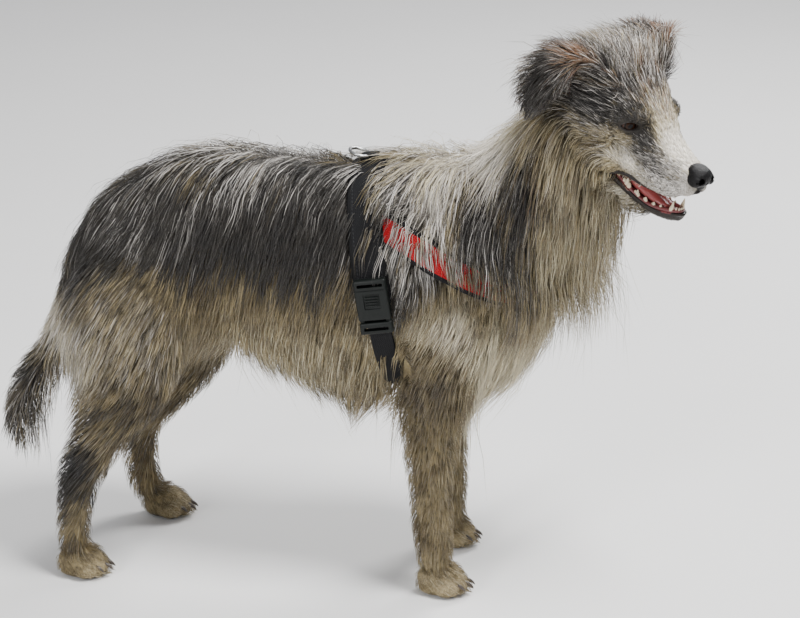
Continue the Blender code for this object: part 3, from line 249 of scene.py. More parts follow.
# Teeth of one side from the front: along, up, across, height, half length, half width.
LOWER_TEETH = [
    (0.0740, -0.0405, 0.0012, 0.0040, 0.0011, 0.0012),
    (0.0735, -0.0407, 0.0036, 0.0042, 0.0011, 0.0012),
    (0.0717, -0.0415, 0.0058, 0.0045, 0.0012, 0.0012),
    (0.0680, -0.0437, 0.0083, 0.0110, 0.0024, 0.0020),
    (0.0575, -0.0490, 0.0108, 0.0038, 0.0022, 0.0014),
    (0.0500, -0.0525, 0.0122, 0.0045, 0.0030, 0.0015),
    (0.0400, -0.0552, 0.0136, 0.0050, 0.0035, 0.0016),
    (0.0285, -0.0560, 0.0150, 0.0062, 0.0040, 0.0018),
    (0.0130, -0.0550, 0.0165, 0.0075, 0.0060, 0.0022),
    (-0.0020, -0.0530, 0.0172, 0.0045, 0.0040, 0.0022),
]
UPPER_TEETH = [
    (0.0745, -0.0415, 0.0014, 0.0045, 0.0012, 0.0013),
    (0.0735, -0.0417, 0.0042, 0.0048, 0.0012, 0.0013),
    (0.0710, -0.0420, 0.0068, 0.0052, 0.0013, 0.0013),
    (0.0640, -0.0430, 0.0092, 0.0110, 0.0024, 0.0020),
    (0.0520, -0.0455, 0.0112, 0.0040, 0.0024, 0.0015),
    (0.0415, -0.0475, 0.0124, 0.0048, 0.0032, 0.0016),
    (0.0305, -0.0485, 0.0136, 0.0052, 0.0036, 0.0017),
    (0.0165, -0.0485, 0.0148, 0.0070, 0.0065, 0.0024),
    (0.0030, -0.0475, 0.0155, 0.0045, 0.0045, 0.0030),
]
# From the root to near the point: share of the height, share of the thickness.
TOOTH_PROFILE = ((-0.30, 0.85), (0.0, 1.0), (0.3, 0.93), (0.55, 0.72), (0.78, 0.45), (0.93, 0.20))
CHEEK_TOOTH = 0.0035  # teeth longer than this, halved, have three points
GUM_RADIUS = 0.0022
PAW_TIPS = {
    "fore_right": Vector((0.221, -0.065, 0.0)),
    "fore_left": Vector((0.210, 0.065, 0.0)),
    "hind_right": Vector((-0.174, -0.086, 0.0)),
    "hind_left": Vector((-0.124, 0.090, 0.0)),
}
PAW_LENGTH, PAW_WIDTH = 0.054, 0.042
# Ahead of the toe, up, and half the thickness.
CLAW_PATH = [
    (-0.0050, 0.0010, 0.0024), (-0.0010, 0.0012, 0.0025), (0.0030, 0.0004, 0.0021),
    (0.0062, -0.0012, 0.0016), (0.0084, -0.0032, 0.0009), (0.0094, -0.0046, 0.0002),
]  # fmt: skip

# ---- the harness --------------------------------------------------------------------
STRAP_THICKNESS = 0.0035
# The webbing's cut edge on: across in widths, out in thicknesses.
STRAP_OUTLINE = [
    (-0.46, 0.0), (0.46, 0.0), (0.49, 0.15), (0.50, 0.5), (0.49, 0.85), (0.46, 1.0),
    (0.42, 0.97), (0.23, 0.93), (0.0, 0.92), (-0.23, 0.93), (-0.42, 0.97),
    (-0.46, 1.0), (-0.49, 0.85), (-0.50, 0.5), (-0.49, 0.15),
]  # fmt: skip
RIB_PITCH, YARN_PITCH, STITCH_PITCH = 0.0016, 0.0022, 0.0042
EDGE_WIDTH, SEAM_INSET = 0.0048, 0.0062
LOOP_ROUNDNESS = 2.2
GIRTH_WIDTH, GIRTH_STRAP_WIDTH = 0.038, 0.024
GIRTH_CENTRE = Vector((0.1245, 0, 0.344))
GIRTH_LEAN = math.radians(9)
GIRTH_HALF_WIDTH, GIRTH_UP, GIRTH_DOWN = 0.0880, 0.1180, 0.1220
CHEST_STRAP_WIDTH, CHEST_STRAP_LEAN = 0.030, 0.45
CHEST_STRAP_REAR = Vector((0.118, 0, 0.425))
CHEST_STRAP_FALL = math.radians(27)
CHEST_STRAP_WIDEST, CHEST_STRAP_FRONT, CHEST_STRAP_BACK = 0.100, 0.093, 0.140
CHEST_STRAP_HALF_WIDTH = 0.0945
BUCKLE_SIZE = Vector((0.035, 0.0095, 0.060))
BUCKLE_LEVEL = -0.010
FITTING_GAP = 0.0003  # between a strap and what sits on it
RING_RADIUS, RING_WIRE, RING_LIE = 0.0115, 0.0018, math.radians(24)
KEEPER_SIZE = Vector((0.020, 0.016, 0.0065))
GIRTH_PLACE = BODY @ Matrix.Translation(GIRTH_CENTRE) @ Matrix.Rotation(-GIRTH_LEAN, 4, "Y")


def chest_strap_place():
    fall = Vector((math.cos(CHEST_STRAP_FALL), 0, -math.sin(CHEST_STRAP_FALL)))
    across = Vector((math.sin(CHEST_STRAP_FALL), 0, math.cos(CHEST_STRAP_FALL)))
    turn = Matrix((across, across.cross(fall) * -1, fall)).transposed().to_4x4()
    return BODY @ Matrix.Translation(CHEST_STRAP_REAR + fall * CHEST_STRAP_WIDEST) @ turn


STRAP_PLACE = chest_strap_place()
PAIRED_FLESH = (
    "ear", "foreleg_upper", "foreleg_lower", "thigh", "shank", "forefoot", "hindfoot",
)  # fmt: skip
FLESH_NODES = ["head", "neck", "chest", "loin", "tail", "jaw"]
FLESH_NODES += [part + side for part in PAIRED_FLESH for side in ("_left", "_right")]


# ---- shader maths -------------------------------------------------------------------
class Wire:
    """A shader socket that can stand in a sum."""

    def __init__(self, finish, socket):
        self.finish = finish
        self.socket = socket

    def maths(self, operation, *values):
        return self.finish.node("ShaderNodeMath", {"operation": operation}, values)

    def __add__(self, other):
        return self.maths("ADD", self, other)

    __radd__ = __add__

    def __sub__(self, other):
        return self.maths("SUBTRACT", self, other)

    def __rsub__(self, other):
        return self.maths("SUBTRACT", other, self)

    def __mul__(self, other):
        return self.maths("MULTIPLY", self, other)

    __rmul__ = __mul__

    def __truediv__(self, other):
        return self.maths("DIVIDE", self, other)

    def simple(self, operation):
        return self.maths(operation, self)

    def sine(self):
        return self.simple("SINE")

    def within(self, low, high):
        """0 below low, 1 above high, smooth between."""
        values = (self, low, high, 0.0, 1.0)
        return self.finish.node("ShaderNodeMapRange", {"interpolation_type": "SMOOTHSTEP"}, values)


class Finish:
    """A material in the making: a Principled shader and the nodes that feed it."""

    def __init__(self, name, **numbers):
        self.material = bpy.data.materials.new(name)
        self.material.use_nodes = True
        self.tree = self.material.node_tree
        self.shader = self.tree.nodes["Principled BSDF"]
        for key, value in numbers.items():
            self.shader.inputs[key.replace("_", " ")].default_value = value

    def node(self, kind, settings=None, values=(), output=0):
        made = self.tree.nodes.new(kind)
        for key, value in (settings or {}).items():
            setattr(made, key, value)
        pairs = values.items() if isinstance(values, dict) else enumerate(values)
        for key, value in pairs:
            if isinstance(value, Wire):
                self.tree.links.new(value.socket, made.inputs[key])
            elif value is not None:
                made.inputs[key].default_value = value
        return Wire(self, made.outputs[output])

    def place(self):
        return self.node("ShaderNodeTexCoord", output="Object")

    def attribute(self, name, output="Color"):
        return self.node("ShaderNodeAttribute", {"attribute_name": name}, output=output)

    def parts(self, wire):
        """The red, green and blue of a colour or the x, y and z of a vector."""
        made = self.node("ShaderNodeSeparateXYZ", values=(wire,)).socket.node
        return [Wire(self, socket) for socket in made.outputs]

    def noise(self, vector, scale, detail=3.0, roughness=0.5, distortion=0.0):
        values = {
            "Vector": vector,
            "Scale": scale,
            "Detail": detail,
            "Roughness": roughness,
            "Distortion": distortion,
        }
        return self.node("ShaderNodeTexNoise", values=values)

    def stretched(self, vector, factors):
        settings = {"operation": "MULTIPLY"}
        return self.node("ShaderNodeVectorMath", settings, (vector, factors))

    def mix(self, share, first, second):
        values = {0: share, 6: first, 7: second}
        return self.node("ShaderNodeMix", {"data_type": "RGBA"}, values, output=2)

    def feed(self, socket, wire):
        self.tree.links.new(wire.socket, self.shader.inputs[socket])

    def bump(self, height, distance, strength=1.0):
        values = {"Strength": strength, "Distance": distance, "Height": height}
        self.feed("Normal", self.node("ShaderNodeBump", values=values))


def shade(red, green, blue):
    """A colour from its 0 to 255 screen values, as the shader's linear one."""
    linear = []
    for value in (red, green, blue):
        value /= 255
        linear.append(value / 12.92 if value <= 0.04045 else ((value + 0.055) / 1.055) ** 2.4)
    return (*linear, 1.0)


# ---- mesh helpers -------------------------------------------------------------------
def deselect():
    bpy.ops.object.select_all(action="DESELECT")


def activate(thing):
    deselect()
    thing.select_set(True)
    bpy.context.view_layer.objects.active = thing


def apply_modifier(thing, kind, **settings):
    activate(thing)
    modifier = thing.modifiers.new(kind.title(), kind)
    for key, value in settings.items():
        setattr(modifier, key, value)
    bpy.ops.object.modifier_apply(modifier=modifier.name)


def combine(thing, operation, others):
    """Joins other closed meshes to a thing or cuts them out of it, and removes them."""
    for other in others:
        apply_modifier(thing, "BOOLEAN", operation=operation, object=other, solver="EXACT")
        bpy.data.objects.remove(other)


def carve(thing, cutters):
    combine(thing, "DIFFERENCE", cutters)


def mesh_object(name, points, faces):
    mesh = bpy.data.meshes.new(name)
    mesh.from_pydata([tuple(p) for p in points], [], [tuple(f) for f in faces])
    thing = bpy.data.objects.new(name, mesh)
    bpy.context.scene.collection.objects.link(thing)
    return thing


def outward(thing):
    bm = bmesh.new()
    bm.from_mesh(thing.data)
    bmesh.ops.recalc_face_normals(bm, faces=bm.faces)
    bm.to_mesh(thing.data)
    bm.free()


def finish_piece(thing, material, replaces=(), angle=None):
    """Gives a piece its material and hands it to the frame, with edges sharper than the angle kept."""
    thing.data.materials.clear()
    thing.data.materials.append(material)
    thing.data.polygons.foreach_set("use_smooth", [True] * len(thing.data.polygons))
    if angle:
        activate(thing)
        bpy.ops.object.shade_smooth_by_angle(angle=math.radians(angle))
    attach(thing, "root")
    if replaces:
        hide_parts(*replaces)


def read_rows(things, field, width, kind):
    """A field of every point, edge or face of a mesh, as rows of numbers."""
    values = np.empty(len(things) * width, kind)
    things.foreach_get(field, values)
    return values.reshape(-1, width)


def points_of(thing):
    return read_rows(thing.data.vertices, "co", 3, float)


def set_points(thing, points):
    thing.data.vertices.foreach_set("co", np.asarray(points, float).ravel())
    thing.data.update()


def moved(points, place):
    turn = np.array(place)
    return np.asarray(points) @ turn[:3, :3].T + turn[:3, 3]


def unit(rows):
    return rows / np.maximum(np.linalg.norm(rows, axis=-1, keepdims=True), 1e-9)


def wall_faces(rings, around, closed=False):
    """Quads between each ring of points and the next, and from the last to the first if closed."""
    faces = []
    for i in range(rings if closed else rings - 1):
        j = (i + 1) % rings
        for k in range(around):
            n = (k + 1) % around
            faces.append((i * around + k, i * around + n, j * around + n, j * around + k))
    return faces


def bend_through(rows, before, after, shares):
    """Rows on a smooth curve through the given ones, at these shares of the way between two."""
    padded = np.vstack([before, rows, after])
    dense = []
    for i in range(len(rows) - 1):
        a, b, c, d = padded[i : i + 4]
        for t in shares:
            bend = (2 * a - 5 * b + 4 * c - d) * t * t + (3 * b - a - 3 * c + d) * t**3
            dense.append(0.5 * (2 * b + (c - a) * t + bend))
    dense.append(rows[-1])
    return np.array(dense)


def circle(around):
    """Angles evenly spread round a full turn."""
    return np.arange(around) * 2 * math.pi / around


# ---- tubes of flesh -------------------------------------------------------------------
BATCH = 20000  # points measured at once


class Tube:
    """A smooth tube through sections, with the flesh and the coat at each step of it."""

    def __init__(self, sections, reference, place=BODY, steps=6):
        rows = np.zeros((len(sections), 9))
        rows[:, : len(sections[0])] = sections
        dense = bend_through(rows, rows[:1], rows[-1:], [step / steps for step in range(steps)])
        along = unit(np.gradient(dense[:, :3], axis=0))
        reference = np.array(reference, float)
        front = unit(reference - along * (along @ reference)[:, None])
        turn = np.array(place)[:3, :3]
        self.centre = moved(dense[:, :3], place)
        self.along = along @ turn.T
        self.front = front @ turn.T
        self.side = np.cross(self.along, self.front)
        self.flesh = dense[:, 3:6]
        self.coat = dense[:, 6:9]

    def shell(self, around=28):
        """Points and faces of the flesh as a closed tube with pointed ends."""
        cos, sin = np.cos(circle(around)), np.sin(circle(around))
        reach = np.where(cos > 0, self.flesh[:, :1], self.flesh[:, 1:2])
        side = self.flesh[:, 2:3]
        points = (
            self.centre[:, None]
            + self.front[:, None] * (cos * reach)[..., None]
            + self.side[:, None] * (sin * side)[..., None]
        ).reshape(-1, 3)
        rows = len(self.centre)
        faces = wall_faces(rows, around)
        ends = []
        for row, way, start in ((0, -1, 0), (rows - 1, 1, (rows - 1) * around)):
            tip = self.centre[row] + self.along[row] * way * self.flesh[row].min() * 0.6
            ends.append(tip)
            index = len(points) + len(ends) - 1
            for k in range(around):
                pair = (start + k, start + (k + 1) % around)
                faces.append((pair[1], pair[0], index) if way < 0 else (pair[0], pair[1], index))
        return np.vstack([points, ends]), faces

    def locate(self, points):
        """Nearest step, how far out in radii, angle round the tube and coat depth, for each point."""
        nearest = np.empty(len(points), int)
        for low in range(0, len(points), BATCH):
            gaps = points[low : low + BATCH, None] - self.centre[None]
            nearest[low : low + BATCH] = (gaps * gaps).sum(2).argmin(1)
        away = points - self.centre[nearest]
        front = (away * self.front[nearest]).sum(1)
        side = (away * self.side[nearest]).sum(1)
        along = (away * self.along[nearest]).sum(1)
        flesh = self.flesh[nearest]
        coat = self.coat[nearest]
        reach = np.where(front > 0, flesh[:, 0], flesh[:, 1])
        out = np.sqrt((front / reach) ** 2 + (side / flesh[:, 2]) ** 2 + (along / flesh.min(1)) ** 2)
        share = front**2 / np.maximum(front**2 + side**2, 1e-12)
        depth = np.where(front > 0, coat[:, 0], coat[:, 1]) * share + coat[:, 2] * (1 - share)
        return nearest, out, np.arctan2(side, front), depth


def other_side(sections, back):
    return [(x - back, -y, z, *rest) for x, y, z, *rest in sections]


def paw_tube(tip):
    coat = (0.004, 0.004, 0.004)
    rows = [
        (tip.x - 0.046, tip.y, 0.024, 0.018, 0.020, 0.018, *coat),
        (tip.x - 0.026, tip.y, 0.016, 0.016, 0.016, 0.020, *coat),
        (tip.x - 0.006, tip.y, 0.011, 0.010, 0.011, 0.016, *coat),
    ]
    return Tube(rows, UP)


# How the coat lies on each part of the body: shares of the way along the tube, down and
# back; how closely it follows the skin; its length and how that grows with the coat's
# depth; the width of a lock; how densely locks grow; how far the hair turns outward at
# the midline; how evenly its colours mingle.
Lie = namedtuple("Lie", "along down back close length growth width dense parting even")
LIES = {
    "trunk": Lie(-0.24, 1.00, 0.0, 0.75, 0.050, 1.5, 0.00098, 1.0, 0.8, 0.12),
    "neck": Lie(-0.18, 1.00, 0.0, 0.50, 0.038, 1.1, 0.00100, 1.15, 0.6, 0.20),
    "tail": Lie(0.65, 0.45, 0.25, 0.35, 0.020, 1.05, 0.0010, 2.2, 0.0, 0.2),
    "foreleg": Lie(1.0, 0.20, 0.22, 0.80, 0.009, 1.4, 0.0010, 1.1, 0.0, 0.75),
    "hindleg": Lie(0.8, 0.20, 0.50, 0.60, 0.014, 1.50, 0.0010, 1.1, 0.0, 0.35),
    "skull": Lie(-1.0, 0.12, 0.0, 0.90, 0.0060, 1.5, 0.0009, 1.0, 0.0, 0.30),
    "jaw": Lie(-0.9, 0.35, 0.0, 0.9, 0.0035, 1.5, 0.0008, 1.0, 0.0, 0.6),
    "ear": Lie(1.0, 0.10, 0.10, 0.6, 0.0120, 1.4, 0.0009, 1.6, 0.0, 0.25),
    "paw": Lie(1.0, 0.35, 0.0, 0.86, 0.0068, 1.0, 0.0007, 1.5, 0.0, 0.7),
}
TUBES = [
    ("trunk", Tube(TRUNK, UP)),
    ("neck", Tube(NECK, (-0.7, 0, 0.7))),
    ("tail", Tube(TAIL, (-1, 0, 0.15))),
    ("foreleg", Tube(FORELEG, FORWARD)),
    ("foreleg", Tube(other_side(FORELEG, LEFT_FORELEG_SET_BACK), FORWARD)),
    ("hindleg", Tube(HINDLEG_RIGHT, FORWARD)),
    ("hindleg", Tube(HINDLEG_LEFT, FORWARD)),
    ("skull", Tube(SKULL, UP, HEAD)),
    ("jaw", Tube(JAW, UP, JAW_SWING)),
    ("ear", Tube(EAR_RIGHT, EAR_BREADTH, HEAD)),
    ("ear", Tube(EAR_LEFT, EAR_BREADTH, HEAD)),
] + [("paw", paw_tube(tip)) for tip in PAW_TIPS.values()]
REGIONS = list(LIES)
UNWRAP_TILES = 4  # each way
BLEND_REACH = 0.09  # how far neighbouring parts of the body share their coat, in radii


class Shells:
    """Closed shells gathered to be fused into one."""

    def __init__(self):
        self.points, self.faces, self.count = [], [], 0

    def add(self, points, faces):
        self.faces.extend(tuple(i + self.count for i in face) for face in faces)
        self.points.append(np.asarray(points))
        self.count += len(points)

    def ellipsoid(self, centre, radii, place, around=24):
        deselect()
        bpy.ops.mesh.primitive_uv_sphere_add(segments=around, ring_count=around // 2, radius=1)
        ball = bpy.context.active_object
        points = points_of(ball) * np.array(radii) + np.array(centre)
        self.add(moved(points, place), [tuple(p.vertices) for p in ball.data.polygons])
        bpy.data.objects.remove(ball)

    def cord(self, points, radii, place, closed=False, around=10):
        """A round cord through the points."""
        line = np.asarray(points, float)
        if closed:
            along = unit(np.roll(line, -1, 0) - np.roll(line, 1, 0))
        else:
            along = unit(np.gradient(line, axis=0))
        seed = line.mean(0) + np.array([0.013, 0.007, 0.05]) if closed else line[0] + [0.3, 0.1, 1.0]
        first = unit(np.cross(along, seed - line))
        second = np.cross(along, first)
        cos, sin = np.cos(circle(around))[:, None], np.sin(circle(around))[:, None]
        thick = np.broadcast_to(np.asarray(radii, float), (len(line),))[:, None, None]
        ring = first[:, None] * cos + second[:, None] * sin
        made = (line[:, None] + ring * thick).reshape(-1, 3)
        faces = wall_faces(len(line), around, closed)
        if not closed:
            faces.append(tuple(range(around))[::-1])
            faces.append(tuple(range(len(made) - around, len(made))))
        self.add(moved(made, place), faces)

    def object(self, name):
        thing = mesh_object(name, np.vstack(self.points), self.faces)
        outward(thing)
        return thing


def fuse(thing, voxel, smoothing):
    apply_modifier(thing, "REMESH", mode="VOXEL", voxel_size=voxel)
    apply_modifier(thing, "SMOOTH", factor=0.5, iterations=smoothing)


def curve_through(knots, count):
    """Points evenly spread on a smooth curve through the knots."""
    knots = np.asarray(knots, float)
    before, after = 2 * knots[0] - knots[1], 2 * knots[-1] - knots[-2]
    dense = bend_through(knots, before, after, np.linspace(0, 1, 24, endpoint=False))
    run = np.concatenate([[0], np.cumsum(np.linalg.norm(np.diff(dense, axis=0), axis=1))])
    wanted = np.linspace(0, run[-1], count)
    return np.stack([np.interp(wanted, run, dense[:, k]) for k in range(3)], 1)


# ---- the skin -------------------------------------------------------------------------
LEAST_SKIN_POINTS = 20000  # with fewer, a part of the skin hasn't joined


def eye_place(sign):
    """An eye's own frame: its middle, +X the way it looks."""
    turn = Matrix.Rotation(sign * EYE_TURN, 4, "Z")
    return HEAD @ Matrix.Translation(EYE_PLACE * Vector((1, sign, 1))) @ turn


def lid_line(sign, stretch=1.0, proud=0.0008):
    """The almond rim of an eye's opening, on the ball, in the eye's own frame."""
    angles = circle(LID_POINTS)
    across = LID_HALF_WIDTH * stretch * np.cos(angles)
    tall = np.where(np.sin(angles) > 0, UPPER_LID_RISE, LOWER_LID_FALL) * stretch
    up = tall * np.sin(angles) - LID_SLANT * across / LID_HALF_WIDTH
    reach = EYE_RADIUS + proud
    ahead = np.sqrt(np.maximum(reach**2 - across**2 - up**2, 0))
    return np.stack([ahead, across * sign, up], 1)


def open_eyes(head):
    """Cuts the almond openings through the lids."""
    for sign in (-1, 1):
        rim = lid_line(sign)
        deep, far = rim.copy(), rim.copy()
        deep[:, 0], far[:, 0] = 0.0010, 0.0300  # from inside the ball to well before it
        ends = [tuple(range(LID_POINTS))[::-1], tuple(range(LID_POINTS, 2 * LID_POINTS))]
        opening = Shells()
        opening.add(moved(np.vstack([deep, far]), eye_place(sign)), ends + wall_faces(2, LID_POINTS))
        carve(head, [opening.object("opening")])


def lid_rims():
    """The thin dark edges of the lids."""
    lids = Shells()
    for sign in (-1, 1):
        rim = lid_line(sign, proud=0.0006)
        upper = np.sin(circle(LID_POINTS)) > 0
        lids.cord(rim, np.where(upper, 0.0012, 0.0009), eye_place(sign), closed=True)
    return lids.object("lids")


def lip_line(knots, sign):
    return curve_through([(ahead, sign * side, up) for ahead, side, up in knots], LIP_POINTS)


def dark_rims():
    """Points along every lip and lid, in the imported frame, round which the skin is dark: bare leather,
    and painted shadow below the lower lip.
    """
    rims = []
    for sign in (-1, 1):
        rims += [moved(lip_line(knots, sign), place) for knots, place in LIPS]
        rims.append(moved(lid_line(sign), eye_place(sign)))
    return rims


def head_shell():
    shells = Shells()
    for name, tube in TUBES:
        if name in ("skull", "ear"):
            shells.add(*tube.shell(around=32))
    for centre, radii in HEAD_LUMPS:
        for sign in (-1, 1):
            shells.ellipsoid((centre[0], sign * centre[1], centre[2]), radii, HEAD)
    for sign in (-1, 1):
        shells.ellipsoid((0, 0, 0), (EYE_RADIUS + 0.0016,) * 3, eye_place(sign), 32)
        fold = lid_line(sign, 1.34, 0.0020)
        shells.cord(fold[2:21], 0.0013, eye_place(sign))
        shells.cord(fold[25:42], 0.0010, eye_place(sign))
    head = shells.object("head_shell")
    fuse(head, 0.0014, 3)
    palate, corners = Shells(), Shells()
    palate.add(*Tube(PALATE, UP, HEAD).shell(around=20))
    corners.ellipsoid(*MOUTH_CORNERS, HEAD)
    carve(head, [palate.object("palate"), corners.object("corners")])
    rest = Shells()
    rest.add(points_of(head), [tuple(p.vertices) for p in head.data.polygons])
    bpy.data.objects.remove(head)
    rest.add(*dict(TUBES)["jaw"].shell())
    for sign in (-1, 1):
        for knots, place in LIPS:
            rest.cord(lip_line(knots, sign), LIP_RADIUS, place)
    whole = rest.object("head_shell")
    fuse(whole, 0.0012, 3)
    apply_modifier(whole, "DECIMATE", ratio=0.55)
    open_eyes(whole)
    return whole


def body_shell():
    shells = Shells()
    for name, tube in TUBES:
        if name in ("trunk", "neck", "tail", "foreleg", "hindleg"):
            shells.add(*tube.shell(around=32))
    body = shells.object("body_shell")
    fuse(body, 0.0042, 5)
    return body


def feet_shell():
    shells = Shells()
    for tip in PAW_TIPS.values():
        middle = tip - FORWARD * PAW_LENGTH * 0.52
        heel = middle - FORWARD * 0.004
        shells.ellipsoid(middle + UP * 0.017, (0.026, PAW_WIDTH * 0.45, 0.0170), BODY)
        shells.ellipsoid(heel + UP * 0.009, (0.021, PAW_WIDTH * 0.40, 0.012), BODY)
        for toe in paw_toes(tip):
            shells.ellipsoid(toe - UP * 0.0005, (0.0152, 0.0094, 0.0112), BODY)
    feet = shells.object("feet_shell")
    fuse(feet, 0.0019, 3)
    return feet


def paw_toes(tip):
    """Middles of a paw's four toes, the outer two set back."""
    rows = ((-0.80, 0.020), (-0.27, 0.0125), (0.27, 0.0125), (0.80, 0.020))
    return [tip + Vector((-back, across * PAW_WIDTH * 0.40, 0.0115)) for across, back in rows]


def make_skin():
    """One closed skin: body, feet and head joined, with sockets, lids, lips and a flat sole."""
    skin = body_shell()
    combine(skin, "UNION", (feet_shell(), head_shell()))
    if len(skin.data.vertices) < LEAST_SKIN_POINTS:
        raise RuntimeError("the skin's parts didn't join")
    rims = lid_rims()
    activate(skin)
    rims.select_set(True)
    bpy.ops.object.join()
    apply_modifier(skin, "TRIANGULATE")
    skin.name = skin.data.name = "skin"
    points = points_of(skin)
    points[:, 2] = np.maximum(points[:, 2], 0.0)
    set_points(skin, points)
    return skin


# ---- what grows where -----------------------------------------------------------------
# Colour patches: centre and radii (side doubled), then dark, silver, rust and pale.
# Trunk and legs in the dog's own frame, the head in its own.
BODY_PATCHES = [
    ((-0.020, 0.070, 0.424), (0.185, 0.130, 0.060), (0.96, 0.12, 0.0, 0.0)),  # saddle
    ((0.065, 0.080, 0.414), (0.070, 0.100, 0.055), (0.95, 0.12, 0.0, 0.0)),
    ((0.000, 0.060, 0.468), (0.170, 0.080, 0.022), (0.80, 0.46, 0.0, 0.0)),  # its streaked top
    ((-0.030, 0.000, 0.494), (0.190, 0.060, 0.026), (0.35, 0.95, 0.0, 0.45)),  # spine
    ((-0.150, 0.060, 0.418), (0.075, 0.080, 0.056), (0.88, 0.32, 0.0, 0.0)),  # croup
    ((-0.195, 0.040, 0.374), (0.045, 0.060, 0.052), (0.97, 0.20, 0.0, 0.0)),
    ((0.182, 0.040, 0.494), (0.066, 0.090, 0.028), (0.10, 1.0, 0.0, 0.9)),  # withers
    ((0.186, 0.070, 0.478), (0.024, 0.040, 0.030), (0.0, 1.0, 0.0, 1.0)),
    ((0.140, 0.080, 0.450), (0.040, 0.060, 0.022), (0.72, 0.50, 0.0, 0.1)),  # shoulder
    ((0.188, 0.085, 0.440), (0.026, 0.050, 0.026), (0.45, 0.80, 0.0, 0.3)),
    ((0.175, 0.085, 0.400), (0.050, 0.050, 0.026), (0.62, 0.52, 0.0, 0.1)),
    ((0.145, 0.085, 0.375), (0.045, 0.040, 0.036), (0.72, 0.42, 0.0, 0.1)),
    ((0.246, 0.060, 0.430), (0.034, 0.060, 0.052), (0.90, 0.30, 0.0, 0.0)),  # neck's dark fall
    ((0.280, 0.070, 0.360), (0.026, 0.050, 0.040), (0.72, 0.22, 0.15, 0.05)),
    ((0.284, 0.060, 0.484), (0.026, 0.050, 0.044), (0.84, 0.22, 0.25, 0.0)),
    ((0.238, 0.015, 0.516), (0.048, 0.064, 0.034), (0.0, 1.0, 0.0, 1.0)),  # nape
    ((0.325, 0.050, 0.415), (0.040, 0.060, 0.070), (0.20, 0.15, 0.0, 0.34)),  # mane
    ((0.290, 0.030, 0.310), (0.050, 0.060, 0.045), (0.08, 0.15, 0.10, 0.50)),
    ((0.250, 0.040, 0.280), (0.050, 0.060, 0.040), (0.0, 0.25, 0.0, 0.95)),  # chest
    ((0.200, 0.090, 0.318), (0.050, 0.035, 0.034), (0.25, 0.42, 0.0, 0.50)),
    ((0.180, 0.080, 0.258), (0.045, 0.040, 0.044), (0.58, 0.28, 0.12, 0.0)),  # upper arm
    ((0.185, 0.065, 0.120), (0.050, 0.040, 0.090), (0.40, 0.12, 0.10, 0.10)),  # forearm
    ((0.000, 0.080, 0.358), (0.125, 0.060, 0.026), (0.32, 0.05, 0.0, 0.0)),  # low flank
    ((0.045, 0.050, 0.295), (0.125, 0.090, 0.050), (0.05, 0.04, 0.0, 0.34)),  # belly
    ((-0.145, 0.090, 0.290), (0.060, 0.050, 0.050), (0.43, 0.32, 0.0, 0.22)),  # thigh
    ((-0.210, 0.085, 0.262), (0.045, 0.050, 0.056), (0.36, 0.46, 0.0, 0.46)),  # trousers
    ((-0.236, 0.000, 0.280), (0.026, 0.040, 0.034), (0.40, 0.50, 0.0, 0.40)),
    ((-0.130, 0.080, 0.200), (0.045, 0.040, 0.040), (0.50, 0.10, 0.05, 0.05)),
    ((-0.211, 0.085, 0.122), (0.030, 0.050, 0.044), (0.99, 0.03, 0.0, 0.0)),  # hock
    ((-0.190, 0.085, 0.050), (0.050, 0.040, 0.050), (0.45, 0.10, 0.10, 0.05)),
]
HEAD_PATCHES = [
    ((0.055, 0.014, -0.036), (0.045, 0.035, 0.030), (0.71, 0.52, 0.0, 0.24)),  # muzzle
    ((0.046, 0.000, -0.008), (0.045, 0.013, 0.014), (0.0, 0.95, 0.05, 1.0)),  # its bridge
    ((0.030, 0.022, -0.024), (0.024, 0.012, 0.010), (0.80, 0.42, 0.0, 0.0)),
    ((0.060, 0.017, -0.024), (0.014, 0.010, 0.008), (0.60, 0.52, 0.0, 0.1)),
    ((-0.002, 0.034, -0.036), (0.026, 0.014, 0.008), (0.20, 0.75, 0.0, 0.6)),
    ((-0.036, 0.038, -0.058), (0.036, 0.026, 0.030), (0.54, 0.05, 0.02, 0.04)),  # cheek
    ((-0.015, 0.000, 0.030), (0.030, 0.022, 0.026), (0.64, 0.42, 0.50, 0.12)),  # forehead
    ((0.012, 0.000, 0.010), (0.014, 0.013, 0.016), (0.32, 0.46, 0.40, 0.5)),
    ((-0.020, 0.026, 0.026), (0.024, 0.013, 0.015), (0.74, 0.40, 0.50, 0.0)),  # above the eye
    ((-0.006, 0.026, 0.010), (0.022, 0.014, 0.013), (0.72, 0.26, 0.10, 0.0)),  # eyebrow
    ((0.000, 0.029, 0.002), (0.024, 0.015, 0.0120), (0.97, 0.08, 0.0, 0.0)),  # round the eye
    ((0.018, 0.022, -0.010), (0.018, 0.011, 0.010), (0.85, 0.30, 0.0, 0.0)),
    ((-0.040, 0.040, 0.010), (0.034, 0.022, 0.028), (0.96, 0.34, 0.0, 0.0)),  # temple
    ((-0.052, 0.018, 0.048), (0.030, 0.024, 0.018), (0.64, 0.50, 0.34, 0.15)),  # crown
    ((-0.090, 0.030, 0.010), (0.040, 0.040, 0.040), (0.60, 0.35, 0.20, 0.1)),  # behind the ears
    ((-0.060, 0.030, -0.075), (0.045, 0.035, 0.040), (0.25, 0.10, 0.05, 0.15)),
    ((0.055, 0.000, -0.080), (0.040, 0.035, 0.018), (0.80, 0.12, 0.10, 0.05)),  # chin
]
EAR_PATCHES = [
    ((-0.072, 0.062, 0.066), (0.050, 0.040, 0.014), (0.35, 0.28, 0.85, 0.15)),  # fold
    ((-0.084, 0.078, 0.014), (0.022, 0.040, 0.030), (0.94, 0.15, 0.30, 0.0)),  # middle of the leaf
    ((-0.110, 0.078, 0.014), (0.014, 0.030, 0.034), (0.42, 0.50, 0.35, 0.4)),
]
